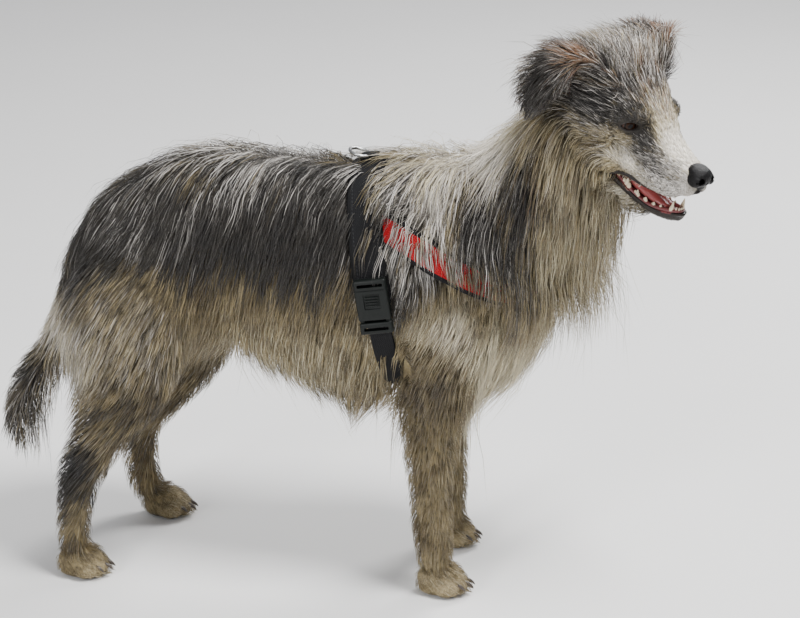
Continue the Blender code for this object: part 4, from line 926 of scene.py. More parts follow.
BASE_MARKING = {
    "trunk": (0.25, 0.12, 0.0, 0.12),
    "neck": (0.28, 0.22, 0.05, 0.25),
    "tail": (0.66, 0.28, 0.05, 0.20),
    "foreleg": (0.42, 0.15, 0.10, 0.08),
    "hindleg": (0.46, 0.28, 0.05, 0.12),
    "skull": (0.20, 0.35, 0.10, 0.35),
    "jaw": (0.10, 0.50, 0.0, 0.60),
    "ear": (0.70, 0.34, 0.50, 0.10),
    "paw": (0.30, 0.15, 0.15, 0.25),
}


def ripple(points, scale, seed):
    """Smooth noise from -1 to 1."""
    shift = Vector((seed, -seed, 2.3 * seed))
    return np.array([noise.noise(Vector(p) * scale + shift) for p in points])


def folded(places):
    """Both sides laid on the left one."""
    return np.abs(places) * [0, 1, 0] + places * [1, 0, 1]


def radii_away(places, centre, radii):
    return np.sqrt((((places - centre) / radii) ** 2).sum(1))


def paint_patches(marking, places, patches, share, rough):
    """Lays the patches over the marking in order, with ragged and fading edges."""
    for centre, radii, wanted in patches:
        away = radii_away(folded(places), centre, radii) + rough * 0.28
        weight = np.clip(1.35 - away * 0.85, 0, 1) ** 1.3 * share
        marking += (np.array(wanted) - marking) * weight[:, None]


def codes(*names):
    """The numbers that stand for parts of the body."""
    return [REGIONS.index(name) for name in names]


def survey(points):
    """For each point: the part it belongs to, its coat and marking, and its place on the unwrap."""
    count = len(points)
    outs = np.empty((len(TUBES), count))
    angles = np.empty_like(outs)
    depths = np.empty_like(outs)
    steps = np.empty((len(TUBES), count), int)
    for i, (name, tube) in enumerate(TUBES):
        steps[i], outs[i], angles[i], depths[i] = tube.locate(points)
    owner = outs.argmin(0)
    weights = np.exp((outs.min(0) - outs) / BLEND_REACH)
    weights /= weights.sum(0)
    flow = np.zeros((count, 3))
    lie = np.zeros((count, 6))
    depth = (weights * depths).sum(0)
    marking = np.zeros((count, 4))
    for i, (name, tube) in enumerate(TUBES):
        way = LIES[name]
        share = weights[i][:, None]
        here = tube.along[steps[i]] * way.along + np.array([-way.back, 0, -way.down])
        across = np.tanh(3 * np.sin(angles[i])) * np.clip(np.cos(angles[i]), 0, 1)
        here += tube.side[steps[i]] * (across * way.parting)[:, None]
        flow += here * share
        lie += np.array([way.close, way.length, way.growth, way.width, way.dense, way.even]) * share
        marking += np.array(BASE_MARKING[name]) * share
    kinds = np.array([REGIONS.index(name) for name, _ in TUBES])
    head_share = weights[np.isin(kinds, codes("skull", "jaw", "ear"))].sum(0)
    ear_share = weights[np.isin(kinds, codes("ear"))].sum(0)
    in_body = points - np.array(CENTRING)
    in_head = moved(points, HEAD.inverted())
    rough = ripple(points, 45.0, 3.1) + 0.5 * ripple(points, 120.0, 7.7)
    paint_patches(marking, in_body, BODY_PATCHES, 1 - head_share, rough * 1.5)
    paint_patches(marking, in_head, HEAD_PATCHES, head_share * (1 - ear_share), rough * 0.6)
    paint_patches(marking, in_head, EAR_PATCHES, ear_share, rough * 0.6)
    # The unwrap has a tile for each part, with the angle across it and the way along it.
    tile = np.stack([owner % UNWRAP_TILES, owner // UNWRAP_TILES], 1)
    lengths = np.array([len(tube.centre) for _, tube in TUBES])
    turn = angles[owner, np.arange(count)] / (2 * math.pi) + 0.5
    way_along = (steps[owner, np.arange(count)] + 0.5) / lengths[owner]
    unwrap = (tile + 0.04 + np.stack([turn, way_along], 1) * 0.92) / UNWRAP_TILES
    return {
        "region": kinds[owner],
        "flow": unit(flow),
        "lie": lie,
        "depth": depth,
        "marking": np.clip(marking, 0, 1),
        "unwrap": unwrap,
        "in_head": in_head,
    }


def spread(values, edges, rounds):
    """Evens out values over neighbouring points of the skin."""
    count = len(values)
    here, there = np.concatenate([edges, edges[:, ::-1]]).T
    links = np.maximum(np.bincount(here, minlength=count), 1)[:, None]
    flat = values.reshape(count, -1)
    for _ in range(rounds):
        near = np.stack([np.bincount(here, column[there], count) for column in flat.T], 1)
        flat = flat * 0.4 + near / links * 0.6
    return flat.reshape(values.shape)


def flesh_tree():
    """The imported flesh, out to the tips of the coat."""
    points, faces = [], []
    for name in FLESH_NODES:
        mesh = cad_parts[name].data
        start = len(points)
        points.extend(v.co.copy() for v in mesh.vertices)
        faces.extend(tuple(start + i for i in p.vertices) for p in mesh.polygons)
    return BVHTree.FromPolygons(points, faces)


# Where hair stands up in wisps, head frame, doubled to both sides: centre, radii, how much.
WISPS = [
    ((-0.050, 0.000, 0.044), (0.040, 0.045, 0.026), 1.0),  # crown
    ((-0.072, 0.062, 0.066), (0.034, 0.034, 0.020), 1.0),  # fold of the ear
    ((-0.108, 0.080, 0.020), (0.016, 0.024, 0.036), 0.55),  # rear edge of the ear
    ((0.000, 0.000, 0.030), (0.016, 0.030, 0.014), 0.25),  # brow
]
DEEPEST_COAT = 0.13
WISP_WAY = np.array((HEAD.to_3x3() @ Vector((-0.62, 0.0, 0.78))).normalized())


class Skin:
    """The skin's surface as numbers, with everything the coat needs at each of its points."""

    def __init__(self, thing):
        mesh = thing.data
        mesh.calc_loop_triangles()
        self.points = points_of(thing)
        self.normals = read_rows(mesh.vertices, "normal", 3, float)
        self.triangles = read_rows(mesh.loop_triangles, "vertices", 3, int)
        edges = read_rows(mesh.edges, "vertices", 2, int)
        self.facts = survey(self.points)
        self.in_head = self.facts["in_head"]
        self.depth = spread(self.coat_depth(), edges, 6)
        flow = spread(self.facts["flow"], edges, 10)
        self.flow = unit(flow)
        inward = (flow * self.normals).sum(1, keepdims=True)
        self.comb = unit(flow - self.normals * inward + 1e-6)
        self.marking = spread(self.facts["marking"], edges, 1)
        self.close = self.facts["lie"][:, 0]
        self.find_mouth()
        self.find_bare_and_shadow()
        self.fluff = spread(self.wisps(), edges, 4)

    def coat_depth(self):
        """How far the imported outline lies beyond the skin, within reason for each part."""
        outline = flesh_tree()
        found = np.full(len(self.points), np.nan)
        for i, (point, normal) in enumerate(zip(self.points, self.normals)):
            start = Vector(point + normal * DEEPEST_COAT)
            hit = outline.ray_cast(start, Vector(-normal), DEEPEST_COAT)
            if hit[0] is not None:
                found[i] = DEEPEST_COAT - hit[3]
        wish = self.facts["depth"]
        head = np.isin(self.facts["region"], codes("skull", "jaw"))
        under = np.clip(-self.normals[:, 2], 0, 1) * (self.in_head[:, 0] < 0.035)
        behind_eyes = self.in_head[:, 0] < 0.0
        most = wish * 1.25 + 0.003 + head * (0.016 * behind_eyes + 0.03 * under)
        found = np.where(np.isnan(found), wish, found)
        return np.clip(found, wish * 0.6, most)

    def find_mouth(self):
        """Marks the palate, the floor of the mouth and its corners."""
        in_head, in_jaw = self.in_head, moved(self.points, JAW_SWING.inverted())
        palate = Tube(PALATE, UP, HEAD).locate(self.points)[1]
        roof = np.clip((1.14 - palate) / 0.08, 0, 1) * (np.abs(in_head[:, 1]) < 0.019)
        floor = (in_jaw[:, 2] > -0.0585) & (in_jaw[:, 2] < -0.0400)
        floor &= np.abs(in_jaw[:, 1]) < 0.0135
        floor &= (in_jaw[:, 0] > -0.03) & (in_jaw[:, 0] < 0.071) & (self.normals[:, 2] > 0.2)
        corners = (radii_away(in_head, *MOUTH_CORNERS) < 1.03) & (np.abs(in_head[:, 1]) < 0.02)
        self.mouth = np.maximum(roof, (floor | corners) * 1.0)
        # The lower jaw's lip zone, where the painted shadow below the lower lip goes.
        self.lower_lip = (in_jaw[:, 2] < -0.047) * (self.facts["region"] == REGIONS.index("jaw"))

    def find_bare_and_shadow(self):
        """Marks the lips, the lids and the pads, and a dark band below the lower lip that is painted
        shadow, and measures how far the nearest lip or lid is.
        """
        rims = np.vstack(dark_rims())
        tree = KDTree(len(rims))
        for i, point in enumerate(rims):
            tree.insert(point, i)
        tree.balance()
        self.rim = np.full(len(self.points), 1.0)
        by_eye = np.zeros(len(self.points), bool)
        rims_a_side = len(rims) // 2
        near = (self.in_head[:, 0] > -0.05) & (np.abs(self.in_head).max(1) < 0.1)
        for i in np.nonzero(near)[0]:
            _, index, self.rim[i] = tree.find(self.points[i])
            by_eye[i] = index % rims_a_side >= 2 * LIP_POINTS
        # The dark band below the lower lip reaches 3.5 mm further than on other lips: painted shadow
        # under the lip.
        bare_and_shadow_width = np.where(by_eye, 0.0021, 0.0036 + 0.0035 * self.lower_lip)
        bare_and_lip_shadow = np.clip((bare_and_shadow_width - self.rim) / 0.0010, 0, 1)
        self.room = np.where(by_eye, 0.0006, 0.0022)
        pads = self.points[:, 2] < 0.0035
        self.bare_and_lip_shadow = np.maximum(bare_and_lip_shadow, pads) * (1 - self.mouth)

    def wisps(self):
        fluff = np.zeros(len(self.points))
        for centre, radii, amount in WISPS:
            away = radii_away(folded(self.in_head), centre, radii)
            fluff = np.maximum(fluff, np.clip((1.4 - away) * 1.6, 0, 1) * amount)
        return fluff


def colour_layer(mesh, name, values):
    """Stores up to four numbers a point, which a material reads by name."""
    layer = mesh.attributes.new(name, "FLOAT_COLOR", "POINT")
    rows = np.zeros((len(mesh.vertices), 4), np.float32)
    rows[:, : values.shape[1]] = values
    layer.data.foreach_set("color", rows.ravel())


# ---- the coat ---------------------------------------------------------------------------
Manner = namedtuple("Manner", "per_tuft tight wave")  # locks to a tuft, how close, how wavy
RINGS = 3  # rings of points along a lock, before its tip
ALONG = np.arange(RINGS + 1) / RINGS  # how far along a lock each ring and the tip lie
MOST_TRIANGLES = 195000  # in a piece of the coat
# Share of flyaway locks, how far locks scatter and sag, and how deep they root in the skin.
FLYAWAY, SCATTER, SAG, ROOT_DEPTH = 0.05, 0.08, 0.32, 0.0015
WISP_LENGTH, WISP_RISE = 0.015, 0.006  # how much longer and higher wisps are than other locks
WAVE_LENGTH = 0.045
BOX_ROOM = 0.014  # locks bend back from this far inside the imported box
BAKE_PATCH = 0.003  # side of a lock's place on the unwrap
# Each strap's loop, where it starts on the girth's own axis, and how likely a lock is to lie over it.
Strap = namedtuple("Strap", "place width half_wide up down ahead_of over")
GIRTH = Strap(GIRTH_PLACE, GIRTH_WIDTH, GIRTH_HALF_WIDTH, GIRTH_UP, GIRTH_DOWN, -1.0, 0.06)
CHEST_STRAP = Strap(
    STRAP_PLACE, CHEST_STRAP_WIDTH, CHEST_STRAP_HALF_WIDTH, CHEST_STRAP_FRONT, CHEST_STRAP_BACK,
    0.018, 0.96,
)  # fmt: skip
# Where the breast strap shows through the coat: forward along the dog, reach, how much.
STRAP_SHOWS = np.array(
    [(0.144, 0.003, 0.5), (0.177, 0.004, 0.45), (0.197, 0.006, 0.85), (0.221, 0.010, 0.40)]
)
OVER_RAMP, UNDER_RAMP = 0.030, 0.012  # how far from a strap's edge a lock starts to rise or sink
OVER_GAP, UNDER_GAP = 0.0008, 0.0015


def in_loops(points, strap):
    """Each point in the strap's own frame, and how far out it is in loops."""
    local = moved(points, strap.place.inverted())
    tall = np.where(local[:, 2] > 0, strap.up, strap.down)
    power = LOOP_ROUNDNESS
    out = (np.abs(local[:, 1]) / strap.half_wide) ** power + (np.abs(local[:, 2]) / tall) ** power
    return local, out ** (1 / power)


def pass_straps(points, over, lift):
    """Leads each lock over or under the straps that it meets."""
    for strap, goes_over in zip((GIRTH, CHEST_STRAP), over):
        local, out = in_loops(points, strap)
        ahead = moved(points, GIRTH_PLACE.inverted())[:, 0] > strap.ahead_of
        edge = np.where(goes_over, OVER_RAMP, UNDER_RAMP)
        ramp = np.clip((strap.width / 2 + edge - np.abs(local[:, 0])) / edge, 0, 1)
        ramp = ramp * ramp * (3 - 2 * ramp) * ahead
        radius = np.maximum(np.hypot(local[:, 1], local[:, 2]), 0.03)
        top = 1 + (STRAP_THICKNESS + OVER_GAP + lift) / radius
        low = 1 - UNDER_GAP / radius
        ramp *= np.clip((1.38 - out) / 0.08, 0, 1)
        wish = np.where(goes_over & (out > 0.80), np.maximum(out, top), np.minimum(out, low))
        scale = 1 + (wish / np.maximum(out, 0.05) - 1) * ramp
        local[:, 1:] *= scale[:, None]
        points = moved(local, strap.place)
    return points


def sow(skin, density, count, rng):
    """Roots spread over the skin by density: triangle and shares of its corners."""
    corners = skin.points[skin.triangles]
    area = np.linalg.norm(np.cross(corners[:, 1] - corners[:, 0], corners[:, 2] - corners[:, 0]), axis=1)
    chance = area * density[skin.triangles].mean(1)
    picked = rng.choice(len(chance), count, p=chance / chance.sum())
    picked.sort()
    one, two = np.sqrt(rng.random(count)), rng.random(count)
    shares = np.stack([1 - one, one * (1 - two), one * two], 1)
    return skin.triangles[picked], shares


def at_roots(values, corners, shares):
    picked = values[corners]
    if picked.ndim == 2:
        return (picked * shares).sum(1)
    return (picked * shares[..., None]).sum(1)


def find_leaders(root, per_lock, rng):
    """For each root the nearest of the leaders, one for so many roots, on which locks gather."""
    count = len(root)
    tufts = max(count // per_lock, 1)
    leaders = rng.choice(count, tufts, replace=False)
    tree = KDTree(tufts)
    for n, k in enumerate(leaders):
        tree.insert(root[k], n)
    tree.balance()
    return np.array([leaders[tree.find(p)[1]] for p in root])


def strap_side(root, leader_chance):
    """Which locks lie over the girth, and which over the breast strap."""
    away = np.abs(root[:, :1] - CENTRING[0] - STRAP_SHOWS[:, 0]) / STRAP_SHOWS[:, 1]
    shown = (np.clip(1.5 - away, 0, 1) * STRAP_SHOWS[:, 2]).max(1)
    level = np.clip((root[:, 2] - 0.37) / 0.10, 0, 1)
    beneath = np.clip((0.275 - root[:, 2]) / 0.04, 0, 1)
    over_girth = leader_chance < GIRTH.over + 0.34 * level**2 + 0.5 * beneath
    return [over_girth, leader_chance < CHEST_STRAP.over - shown]


class Locks:
    """The locks of one kind of coat: what each has from its root, and its path to its tip."""

    def __init__(self, skin, corners, shares, manner, rng):
        self.manner = manner
        self.root = at_roots(skin.points, corners, shares)
        self.normal = unit(at_roots(skin.normals, corners, shares))
        self.comb = unit(at_roots(skin.comb, corners, shares))
        self.flow = unit(at_roots(skin.flow, corners, shares))
        self.rim = at_roots(skin.rim, corners, shares)
        self.fluff = at_roots(skin.fluff, corners, shares)
        self.marking = at_roots(skin.marking, corners, shares)
        self.unwrap = at_roots(skin.facts["unwrap"], corners, shares)
        depth = at_roots(skin.depth, corners, shares)
        lie = at_roots(skin.facts["lie"], corners, shares)
        _, length, growth, self.width, _, self.even = lie.T
        chances = rng.random((len(self.root), 6)).T
        stray, longer, higher, self.lift_chance, self.chance, self.wisp_chance = chances
        self.leader = find_leaders(self.root, manner.per_tuft, rng)
        self.over = strap_side(self.root, stray[self.leader])
        self.fly = stray < FLYAWAY * (1 + 5 * self.fluff)
        # Longer and higher in wisps and on flyaway locks, shorter by a lip or a lid.
        length = (length + growth * depth + WISP_LENGTH * self.fluff) * (0.65 + 0.55 * longer)
        length *= np.clip(self.rim / 0.024, 0.16, 1)
        self.length = np.where(self.fly, length * (1.2 + 0.35 * self.fluff), length)
        height = depth * np.sqrt(0.06 + 0.94 * higher) + WISP_RISE * self.fluff
        height = np.where(self.fly, height * 1.3, height)
        self.height = height * np.clip(self.rim / 0.016, 0.3, 1)
        self.hang = np.clip((self.flow * self.normal).sum(1), 0, 1)[:, None]

    def first_way(self, rng):
        """The way each lock leaves the skin: along its comb, a little lifted, wisps more so."""
        fluff = self.fluff[:, None]
        lift = np.radians(12 + 26 * self.lift_chance + 14 * self.fly + 22 * self.fluff)
        lift = (lift * np.clip(self.rim / 0.020, 0.45, 1))[:, None]
        along = self.comb * (1 - self.hang) + self.flow * self.hang
        way = unit(along * np.cos(lift) + self.normal * np.sin(lift))
        way = unit(way + WISP_WAY * (self.fluff * (0.3 + 0.9 * self.wisp_chance))[:, None])
        return unit(way + rng.normal(0, SCATTER, way.shape) * (1 + fluff))

    def grow(self, tree, ground, rng):
        """Leads each lock from ring to ring: out to its height, along the comb and down."""
        way = self.first_way(rng)
        count, fluff = len(self.root), self.fluff
        path = np.empty((count, RINGS + 1, 3))
        path[:, 0] = self.root - self.normal * ROOT_DEPTH
        step = (self.length / RINGS)[:, None]
        limp = np.minimum(self.length / 0.06, 1)[:, None]
        reach = np.ones(count)
        for i in range(1, RINGS + 1):
            here = path[:, i - 1] + way * step
            found = [tree.find_nearest(point) for point in here]
            spot = np.array([hit[0] for hit in found])
            up = np.array([hit[1] for hit in found])
            index = np.array([hit[2] for hit in found])
            near = ground["close"][index] * (1 - 0.9 * fluff)
            gap = self.height * (1 - math.exp(-3.0 * i / RINGS)) - ((here - spot) * up).sum(1)
            move = np.where(gap > 0, gap * 0.85, gap * 0.5 * near * (1 - self.hang[:, 0]))
            here += up * np.clip(move, -0.01, 0.03)[:, None]
            here = pass_straps(here, self.over, 0.0025 * self.chance)
            path[:, i] = here
            into = (ground["mouth"][index] > 0.4) | before_eye(here)
            reach = np.where(into, np.minimum(reach, (i - 0.8) / RINGS), reach)
            way = unit(here - path[:, i - 1])
            pull = ground["comb"][index] * (0.5 * near + 0.12 * (1 - fluff))[:, None]
            sag = (1 - near)[:, None] * SAG * limp * (1 - 0.8 * fluff[:, None])
            way = unit(way * 0.75 + pull - np.array(UP) * sag)
        path = self.swung(self.gathered(path), unit(np.cross(way, self.normal)))
        self.path = inside_box(kept_part(path, np.maximum(reach, 0.15)))

    def gathered(self, path):
        """Closes each lock in on its leader, if both lie on the same side of every strap."""
        away = np.linalg.norm(self.root - self.root[self.leader], axis=1)
        tight = self.manner.tight * (0.5 + 0.5 * self.chance) * np.clip(1.6 - away / 0.012, 0, 1)
        tight *= (1 - 0.5 * self.fluff) * ~self.fly
        for side in self.over:
            tight *= side == side[self.leader]
        share = tight[:, None] * ALONG**1.2
        aim = path[self.leader] + (self.root - self.root[self.leader])[:, None] * 0.22
        return path + (aim - path) * share[..., None]

    def swung(self, path, side):
        """Gives each lock a long wave, in step with its tuft."""
        phase = (self.leader % 997) / 997 * 2 * math.pi
        wave = np.sin(ALONG * (self.length / WAVE_LENGTH)[:, None] * 2 * math.pi + phase[:, None])
        swing = self.manner.wave * np.minimum(self.length / 0.06, 1.2)
        return path + side[:, None] * (wave * ALONG * swing[:, None])[..., None]

    def corners(self):
        """Three points round each lock's path at every ring but the tip."""
        profile = (0.55 + 1.1 * ALONG) * (1 - ALONG) ** 0.6
        along = unit(np.gradient(self.path, axis=1))
        side = unit(np.cross(along, self.normal[:, None]))
        top = np.cross(side, along)
        twist = ((self.chance * 37) % 1 - 0.5)[:, None, None] * 1.5
        cos, sin = np.cos(twist), np.sin(twist)
        side, top = side * cos + top * sin, top * cos - side * sin
        width = self.width * np.where(self.fly, 0.55, 1.0) * (0.75 + 0.5 * self.chance)
        half = (width[:, None] * profile)[..., None] * 0.5
        left, right = self.path - side * half, self.path + side * half
        return np.stack([left, right, self.path + top * half * 0.8], 2)[:, :RINGS]

    def mesh_rows(self):
        """For each point of each lock its place, and what the material and the bake read there."""
        count, each = len(self.root), RINGS * 3 + 1
        points = np.empty((count, each, 3))
        points[:, :-1] = self.corners().reshape(count, RINGS * 3, 3)
        points[:, -1] = self.path[:, RINGS]
        along = np.append(np.repeat(ALONG[:RINGS], 3), 1.0)
        across = np.append(np.tile([0.0, 0.5, 1.0], RINGS), 0.5)
        numbers = np.empty((count, each, 4), np.float32)
        numbers[:, :, 0] = along
        numbers[:, :, 1] = self.chance[:, None]
        numbers[:, :, 2] = (((self.leader * 7919) % 1009) / 1009)[:, None]
        numbers[:, :, 3] = self.even[:, None]
        marking = np.repeat(self.marking[:, None], each, axis=1)
        spots = self.unwrap[:, None] + np.stack([across, along], 1) * BAKE_PATCH
        return points, numbers, marking, spots


def before_eye(points):
    """Which points lie in front of an open eye."""
    found = np.zeros(len(points), bool)
    for sign in (-1, 1):
        local = moved(points, eye_place(sign).inverted())
        ring = (local[:, 1] / CLEAR_HALF_WIDTH) ** 2 + (local[:, 2] / CLEAR_HALF_HEIGHT) ** 2
        found |= (ring < 1) & (local[:, 0] > 0) & (local[:, 0] < 0.03)
    return found


def kept_part(path, reach):
    """The same locks, cut off at a share of their length."""
    count, rows, _ = path.shape
    wanted = np.arange(rows)[None] * reach[:, None]
    slot = np.minimum(wanted.astype(int), rows - 2)
    share = (wanted - slot)[..., None]
    which = np.arange(count)[:, None]
    return path[which, slot] * (1 - share) + path[which, slot + 1] * share


def inside_box(path):
    """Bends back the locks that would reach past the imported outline."""
    low, high = (np.array(corner) for corner in CAD_BOX)
    middle, half = (low + high) / 2, (high - low) / 2
    away = path - middle
    past = np.abs(away) - (half - BOX_ROOM)
    ease = BOX_ROOM + 0.003
    bent = half - BOX_ROOM + ease * np.tanh(np.maximum(past, 0) / ease)
    away = np.where(past > 0, np.sign(away) * bent, away)
    path = middle + away
    path[:, :, 2] = np.maximum(path[:, :, 2], 0.0012)
    return path


def lock_meshes(name, locks, material):
    """Closed three-sided locks, tapering to a point, in pieces under the triangle limit."""
    rows = locks.mesh_rows()
    count = len(rows[0])
    pieces = math.ceil(count / (MOST_TRIANGLES // (RINGS * 6 - 2)))
    for n in range(pieces):
        part = slice(n * count // pieces, (n + 1) * count // pieces)
        title = "%s_%d" % (name, n + 1) if pieces > 1 else name
        lock_mesh(title, *[values[part] for values in rows], material)


def lock_mesh(name, points, numbers, marking, spots, material):
    """One piece of the coat."""
    count, each, _ = points.shape
    last = each - 4
    faces = wall_faces(RINGS, 3)
    faces += [(last + j, last + (j + 1) % 3, each - 1) for j in range(3)] + [(0, 2, 1)]
    flat = np.array([i for face in faces for i in face])
    corners = (np.arange(count)[:, None] * each + flat[None]).ravel()
    sizes = np.tile([len(face) for face in faces], count)
    starts = np.concatenate([[0], np.cumsum(sizes)[:-1]])
    mesh = bpy.data.meshes.new(name)
    mesh.vertices.add(count * each)
    mesh.vertices.foreach_set("co", points.ravel())
    mesh.loops.add(len(corners))
    mesh.loops.foreach_set("vertex_index", corners.astype(np.int32))
    mesh.polygons.add(len(sizes))
    mesh.polygons.foreach_set("loop_start", starts.astype(np.int32))
    mesh.polygons.foreach_set("loop_total", sizes.astype(np.int32))
    mesh.update(calc_edges=True)
    colour_layer(mesh, "lock", numbers.reshape(-1, 4))
    colour_layer(mesh, "marking", marking.reshape(-1, 4))
    uv = spots.reshape(-1, 2)[corners].astype(np.float32)
    mesh.uv_layers.new(name="OFBake").data.foreach_set("uv", uv.ravel())
    thing = bpy.data.objects.new(name, mesh)
    bpy.context.scene.collection.objects.link(thing)
    finish_piece(thing, material)


# ---- materials ----------------------------------------------------------------------------
def colour(values):
    return (*values, 1.0)


def marked_colour(finish, along, chance, lock, even, tones):
    """The coat's colour: fawn or cream, then rust, charcoal and silver locks over it, darkened towards
    each lock's root as painted shade.

    Where the coat is even the colours mingle in each hair; elsewhere they part lock by lock.
    """
    dark, silver, rust = finish.parts(finish.attribute("marking"))
    pale = finish.attribute("marking", "Alpha")
    place = finish.place()
    drift = finish.noise(place, 38.0, 3.0, 0.6)
    fine = finish.noise(finish.stretched(place, (1.0, 1.0, 0.45)), 420.0, 2.0, 0.5)
    other = (chance * 7.31 + lock * 3.17).simple("FRACT")
    third = (chance * 3.7 + lock * 11.3).simple("FRACT")
    tan = finish.mix(drift.within(0.35, 0.65), colour(tones.fawn), colour(tones.umber))
    warm = finish.mix((pale + (third - 0.5) * 0.5).within(0.15, 0.75), tan, colour(tones.cream))
    warm = finish.mix((rust + (other - 0.5) * 0.6).within(0.25, 0.75) * 0.85, warm, colour(tones.rust))
    own = even * -1.0 + 1.0
    edge = (lock * 0.50 + chance * 0.22) * own + even * 0.36 + drift * 0.28
    shade_share = (dark - edge + 0.5).within(even * -0.22 + 0.34, even * 0.22 + 0.66)
    coat = finish.mix(shade_share * 0.95, warm, colour(tones.charcoal))
    streak = (third * 0.62 + other * 0.18) * own + even * 0.40
    grey = (silver - streak + 0.42).within(even * -0.18 + 0.40, even * 0.18 + 0.66)
    grey = grey * (along * 0.40 + 0.60)
    coat = finish.mix(grey * 0.9, coat, colour(tones.silver))
    # Darker towards each lock's root: painted shade deep in the coat. The fine noise and each lock's
    # chance vary the tone at random.
    value = (along.within(0.0, 0.5) * 0.58 + 0.44) * (fine * 0.5 + 0.75) * (chance * 0.36 + 0.82)
    values = {"Color": coat, "Value": value}
    return finish.node("ShaderNodeHueSaturation", values=values)


def coat_material(name, tones):
    finish = Finish(name, Roughness=0.56, Specular_IOR_Level=0.35, Sheen_Weight=0.12)
    along, chance, lock = finish.parts(finish.attribute("lock"))
    even = finish.attribute("lock", "Alpha")
    finish.feed("Base Color", marked_colour(finish, along, chance, lock, even, tones))
    streaks = finish.noise(finish.stretched(finish.place(), (1.0, 1.0, 0.4)), 900.0, 2.0)
    finish.bump(streaks, 0.0004, 0.35)
    return finish.material


def skin_material(tones):
    finish = Finish("skin", Roughness=0.6, Specular_IOR_Level=0.3)
    place = finish.place()
    hairs = finish.noise(finish.stretched(place, (1.0, 1.0, 0.3)), 700.0, 4.0, 0.6, 0.3)
    lock = finish.noise(place, 130.0, 2.0)
    even = lock * 0.2 + 0.5
    fur = marked_colour(finish, hairs, hairs, lock, even, tones)
    bare_and_lip_shadow, mouth, _ = finish.parts(finish.attribute("bare_and_lip_shadow"))
    wrinkles = finish.noise(place, 520.0, 4.0, 0.6)
    leather = finish.mix(wrinkles, shade(22, 18, 16), shade(44, 37, 32))
    gum = finish.mix(wrinkles.within(0.35, 0.65), shade(138, 66, 66), shade(92, 44, 46))
    # Leather colours on the bare lips, lids and pads, and on the band below the lower lip, which is
    # painted shadow.
    whole = finish.mix(bare_and_lip_shadow, fur, leather)
    finish.feed("Base Color", finish.mix(mouth, whole, gum))
    finish.feed("Roughness", 0.66 - bare_and_lip_shadow * 0.28 - mouth * 0.34)
    finish.bump(hairs * (1 - bare_and_lip_shadow) + wrinkles * bare_and_lip_shadow * 1.4 + wrinkles * mouth * 0.3, 0.0009, 0.6)
    return finish.material


# ---- eyes, nose and mouth -----------------------------------------------------------------
def eye_material(name, centre, gaze, iris):
    """Iris, pupil and white by the angle from the way the eye looks."""
    finish = Finish(
        name, Roughness=0.12, Specular_IOR_Level=0.08, Coat_Weight=0.12, Coat_Roughness=0.02
    )
    off = finish.node("ShaderNodeVectorMath", {"operation": "SUBTRACT"}, (finish.place(), centre))
    settings = {"operation": "DOT_PRODUCT"}
    ahead = finish.node("ShaderNodeVectorMath", settings, (off, gaze), output=1) / EYE_RADIUS
    rays = finish.noise(off, 900.0, 3.0, 0.7)
    brown = finish.mix(rays.within(0.35, 0.7), colour(iris), shade(52, 31, 17))
    brown = finish.mix(ahead.within(0.960, 0.890), brown, shade(9, 6, 5))
    ball = finish.mix(ahead.within(0.860, 0.830), brown, shade(64, 48, 42))
    finish.feed("Base Color", finish.mix(ahead.within(1.020, 1.026), ball, shade(3, 3, 4)))
    finish.bump(rays, 0.0001, 0.2)
    return finish.material


def make_eye(sign, iris):
    place = eye_place(sign)
    deselect()
    bpy.ops.mesh.primitive_uv_sphere_add(segments=56, ring_count=36, radius=EYE_RADIUS)
    eye = bpy.context.active_object
    side = "left" if sign > 0 else "right"
    eye.name = eye.data.name = "eyeball_" + side
    points = points_of(eye)
    ahead = points[:, 0] / EYE_RADIUS
    bulge = np.clip((ahead - CORNEA_EDGE) / CORNEA_SPAN, 0, 1)
    points *= 1 + CORNEA_RISE * (bulge * (2 - bulge))[:, None]
    set_points(eye, moved(points, place))
    gaze = place.to_3x3() @ FORWARD
    material = eye_material("eye_" + side, place.translation, gaze, iris)
    finish_piece(eye, material, ["eye_" + side])


